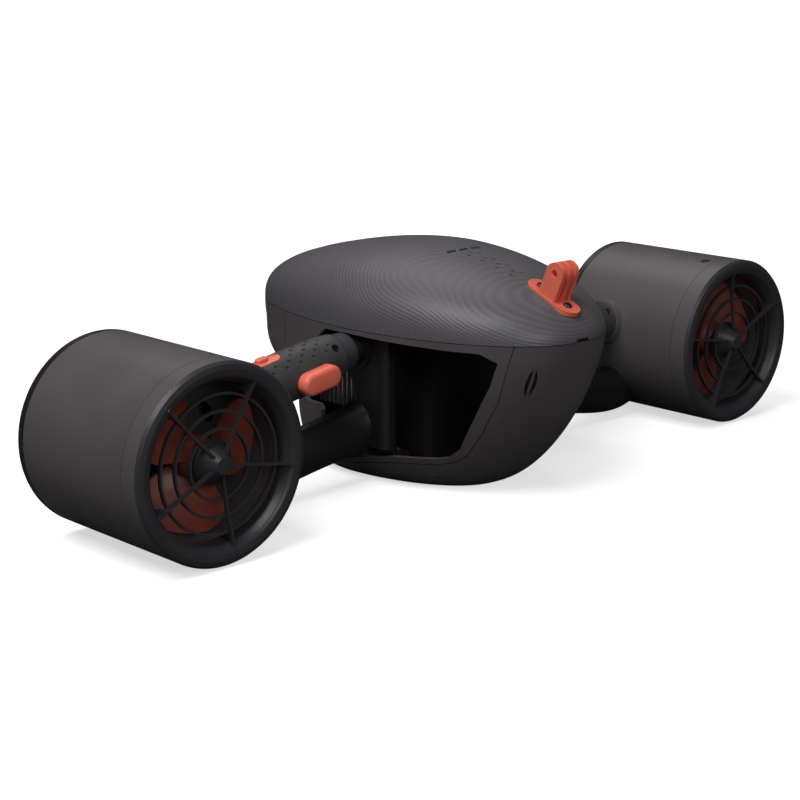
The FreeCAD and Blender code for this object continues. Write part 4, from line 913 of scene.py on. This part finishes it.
class ScooterGrips(bpy.types.Operator):
    """Grips with dimples, screw pits and pockets, and the triggers in them"""
    bl_idname = "scooter.grips"
    bl_label = "Grips"

    def execute(self, context):
        skin = grip_finish()
        accent = accent_finish("trigger_plastic", 0.34)
        for side in SIDES:
            grip = self.skin(side, skin)
            carve(grip, self.dimples(side, skin), self.pocket(side, skin), self.slot(side, skin),
                  *self.pits(side, skin))
            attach(grip, "hull")
            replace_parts(grip, "grip_" + side)
            trigger = self.trigger(side, accent)
            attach(trigger, "trigger_" + side)
            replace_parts(trigger, "trigger_" + side)
        return {"FINISHED"}

    def skin(self, side, material):
        rings = []
        for i in range(GRIP_RINGS + 1):
            share = i / GRIP_RINGS
            along = GRIP_OUTLINE[0][0] + (GRIP_OUTLINE[-1][0] - GRIP_OUTLINE[0][0]) * share
            radius = outline_radius(along)
            rings.append([arm_spot(side, along * MM, 360 * j / GRIP_SEGMENTS, radius * MM)
                          for j in range(GRIP_SEGMENTS)])
        verts, faces = stack(rings)
        return outward(mesh_piece("grip_skin_" + side, verts, faces, material))

    def dimples(self, side, material):
        """Small blind holes, set on the skin by the repeating node group."""
        radius = sizes().dimple_radius
        deep = DIMPLE_DEPTH
        profile = [(0, -deep), (radius * 0.55, -deep), (radius * 0.92, -deep * 0.6), (radius, 0),
                   (radius, deep), (0, deep)]
        verts, faces = lathe(profile, 16)
        shape = outward(mesh_piece("dimple_shape", verts, faces, material))
        frames = []
        for row in range(ROW_COUNT):
            degrees = FIRST_ROW + ROW_ANGLE * row
            beside = abs(degrees - SLOT_ANGLE) < SLOT_CLEAR
            for column in COLUMNS:
                along = FIRST_COLUMN - ROW_SHIFT * row + sizes().dimple_pitch * column
                in_span = abs(along - SLOT_ALONG) < SLOT_LENGTH / 2 + SLOT_MARGIN
                if (beside and in_span) or not DIMPLE_RANGE[0] < along < DIMPLE_RANGE[1]:
                    continue
                spot = arm_spot(side, along, degrees, outline_radius(along / MM) * MM)
                frames.append((spot, facing(arm_out(side, degrees))))
        cutter = copies("dimples_" + side, shape, frames, material)
        bpy.data.objects.remove(shape)
        return cutter

    def pocket(self, side, material):
        back = -(TRIGGER_BACK + TRIGGER_TRAVEL + FIT)
        rings = slab_on_arm(side, TRIGGER_ALONG, TRIGGER_LENGTH + 2 * FIT, TRIGGER_HEIGHT + 2 * FIT,
                            TRIGGER_RISE, ((back, 0), (back + POCKET_REACH, 0)))
        return outward(mesh_piece("pocket", *stack(rings), material))

    def slot(self, side, material):
        rings = slab_on_arm(side, SLOT_ALONG, SLOT_LENGTH, SLOT_WIDTH, 0,
                            ((SLOT_FLOOR, 0), (SLOT_FLOOR + SLOT_REACH, 0)), SLOT_ANGLE)
        return outward(mesh_piece("slot", *stack(rings), material))

    def pits(self, side, material):
        cutters = []
        profile = [(0, 0), (PIT_RADIUS, 0), (PIT_RADIUS, PIT_REACH), (0, PIT_REACH)]
        for place, turn in grip_screw_frames(side):
            verts, faces = lathe(profile, ROUND_STEPS)
            verts = [place + turn @ Vector(v) for v in verts]
            cutters.append(outward(mesh_piece("pit", verts, faces, material)))
        return cutters

    def trigger(self, side, material):
        """A key with a slightly crowned face and a soft rounded rim."""
        levels = [(-TRIGGER_BACK, 0.3 * MM), (-TRIGGER_BACK + 0.4 * MM, 0)]
        rim = -TRIGGER_FRONT - TRIGGER_ROUND
        for i in range(TRIGGER_RIM_STEPS + 1):
            a = math.pi / 2 * i / TRIGGER_RIM_STEPS
            reach = rim + TRIGGER_ROUND * 0.93 * math.sin(a)
            levels.append((reach, TRIGGER_ROUND * (1 - math.cos(a)) * 0.9))
        levels.append((rim + TRIGGER_ROUND * 0.98, TRIGGER_ROUND * 1.3))
        levels.append((-TRIGGER_FRONT, TRIGGER_ROUND * 1.9))
        rings = slab_on_arm(side, TRIGGER_ALONG, TRIGGER_LENGTH, TRIGGER_HEIGHT, TRIGGER_RISE,
                            levels)
        item = outward(mesh_piece("trigger_key_" + side, *stack(rings), material))
        item.data.set_sharp_from_angle(angle=math.radians(KEY_CRISP_ANGLE))
        return item


def outline_radius(along):
    """The grip's radius at a place along the arm, both in millimetres."""
    for (a, low), (b, high) in zip(GRIP_OUTLINE, GRIP_OUTLINE[1:]):
        if along <= b:
            share = max(0.0, (along - a) / (b - a))
            share = share * share * (3 - 2 * share) if b - a < SHORT_SPAN else share
            return low + (high - low) * share
    return GRIP_OUTLINE[-1][1]


STEPS = (ScooterStage, ScooterShells, ScooterFrame, ScooterMetal, ScooterAccents, ScooterGrips)


class ScooterPanel(bpy.types.Panel):
    """Lists the scooter's colours, sizes and pieces"""
    bl_label = "Underwater scooter"
    bl_idname = "SCOOTER_PT_pieces"
    bl_space_type = "VIEW_3D"
    bl_region_type = "UI"
    bl_category = "Scooter"

    def draw(self, context):
        for group in (context.scene.scooter_colours, context.scene.scooter_sizes):
            for name in group.__annotations__:
                self.layout.prop(group, name)
        for step in STEPS:
            self.layout.operator(step.bl_idname)


CLASSES = (ScooterColours, ScooterSizes) + STEPS + (ScooterPanel,)


def register():
    for item in CLASSES:
        bpy.utils.register_class(item)
    bpy.types.Scene.scooter_colours = bpy.props.PointerProperty(type=ScooterColours)
    bpy.types.Scene.scooter_sizes = bpy.props.PointerProperty(type=ScooterSizes)


def unregister():
    del bpy.types.Scene.scooter_sizes
    del bpy.types.Scene.scooter_colours
    for item in reversed(CLASSES):
        bpy.utils.unregister_class(item)


def main():
    register()
    for step in STEPS:
        family, name = step.bl_idname.split(".")
        getattr(getattr(bpy.ops, family), name)()


if __name__ == "__main__":
    main()
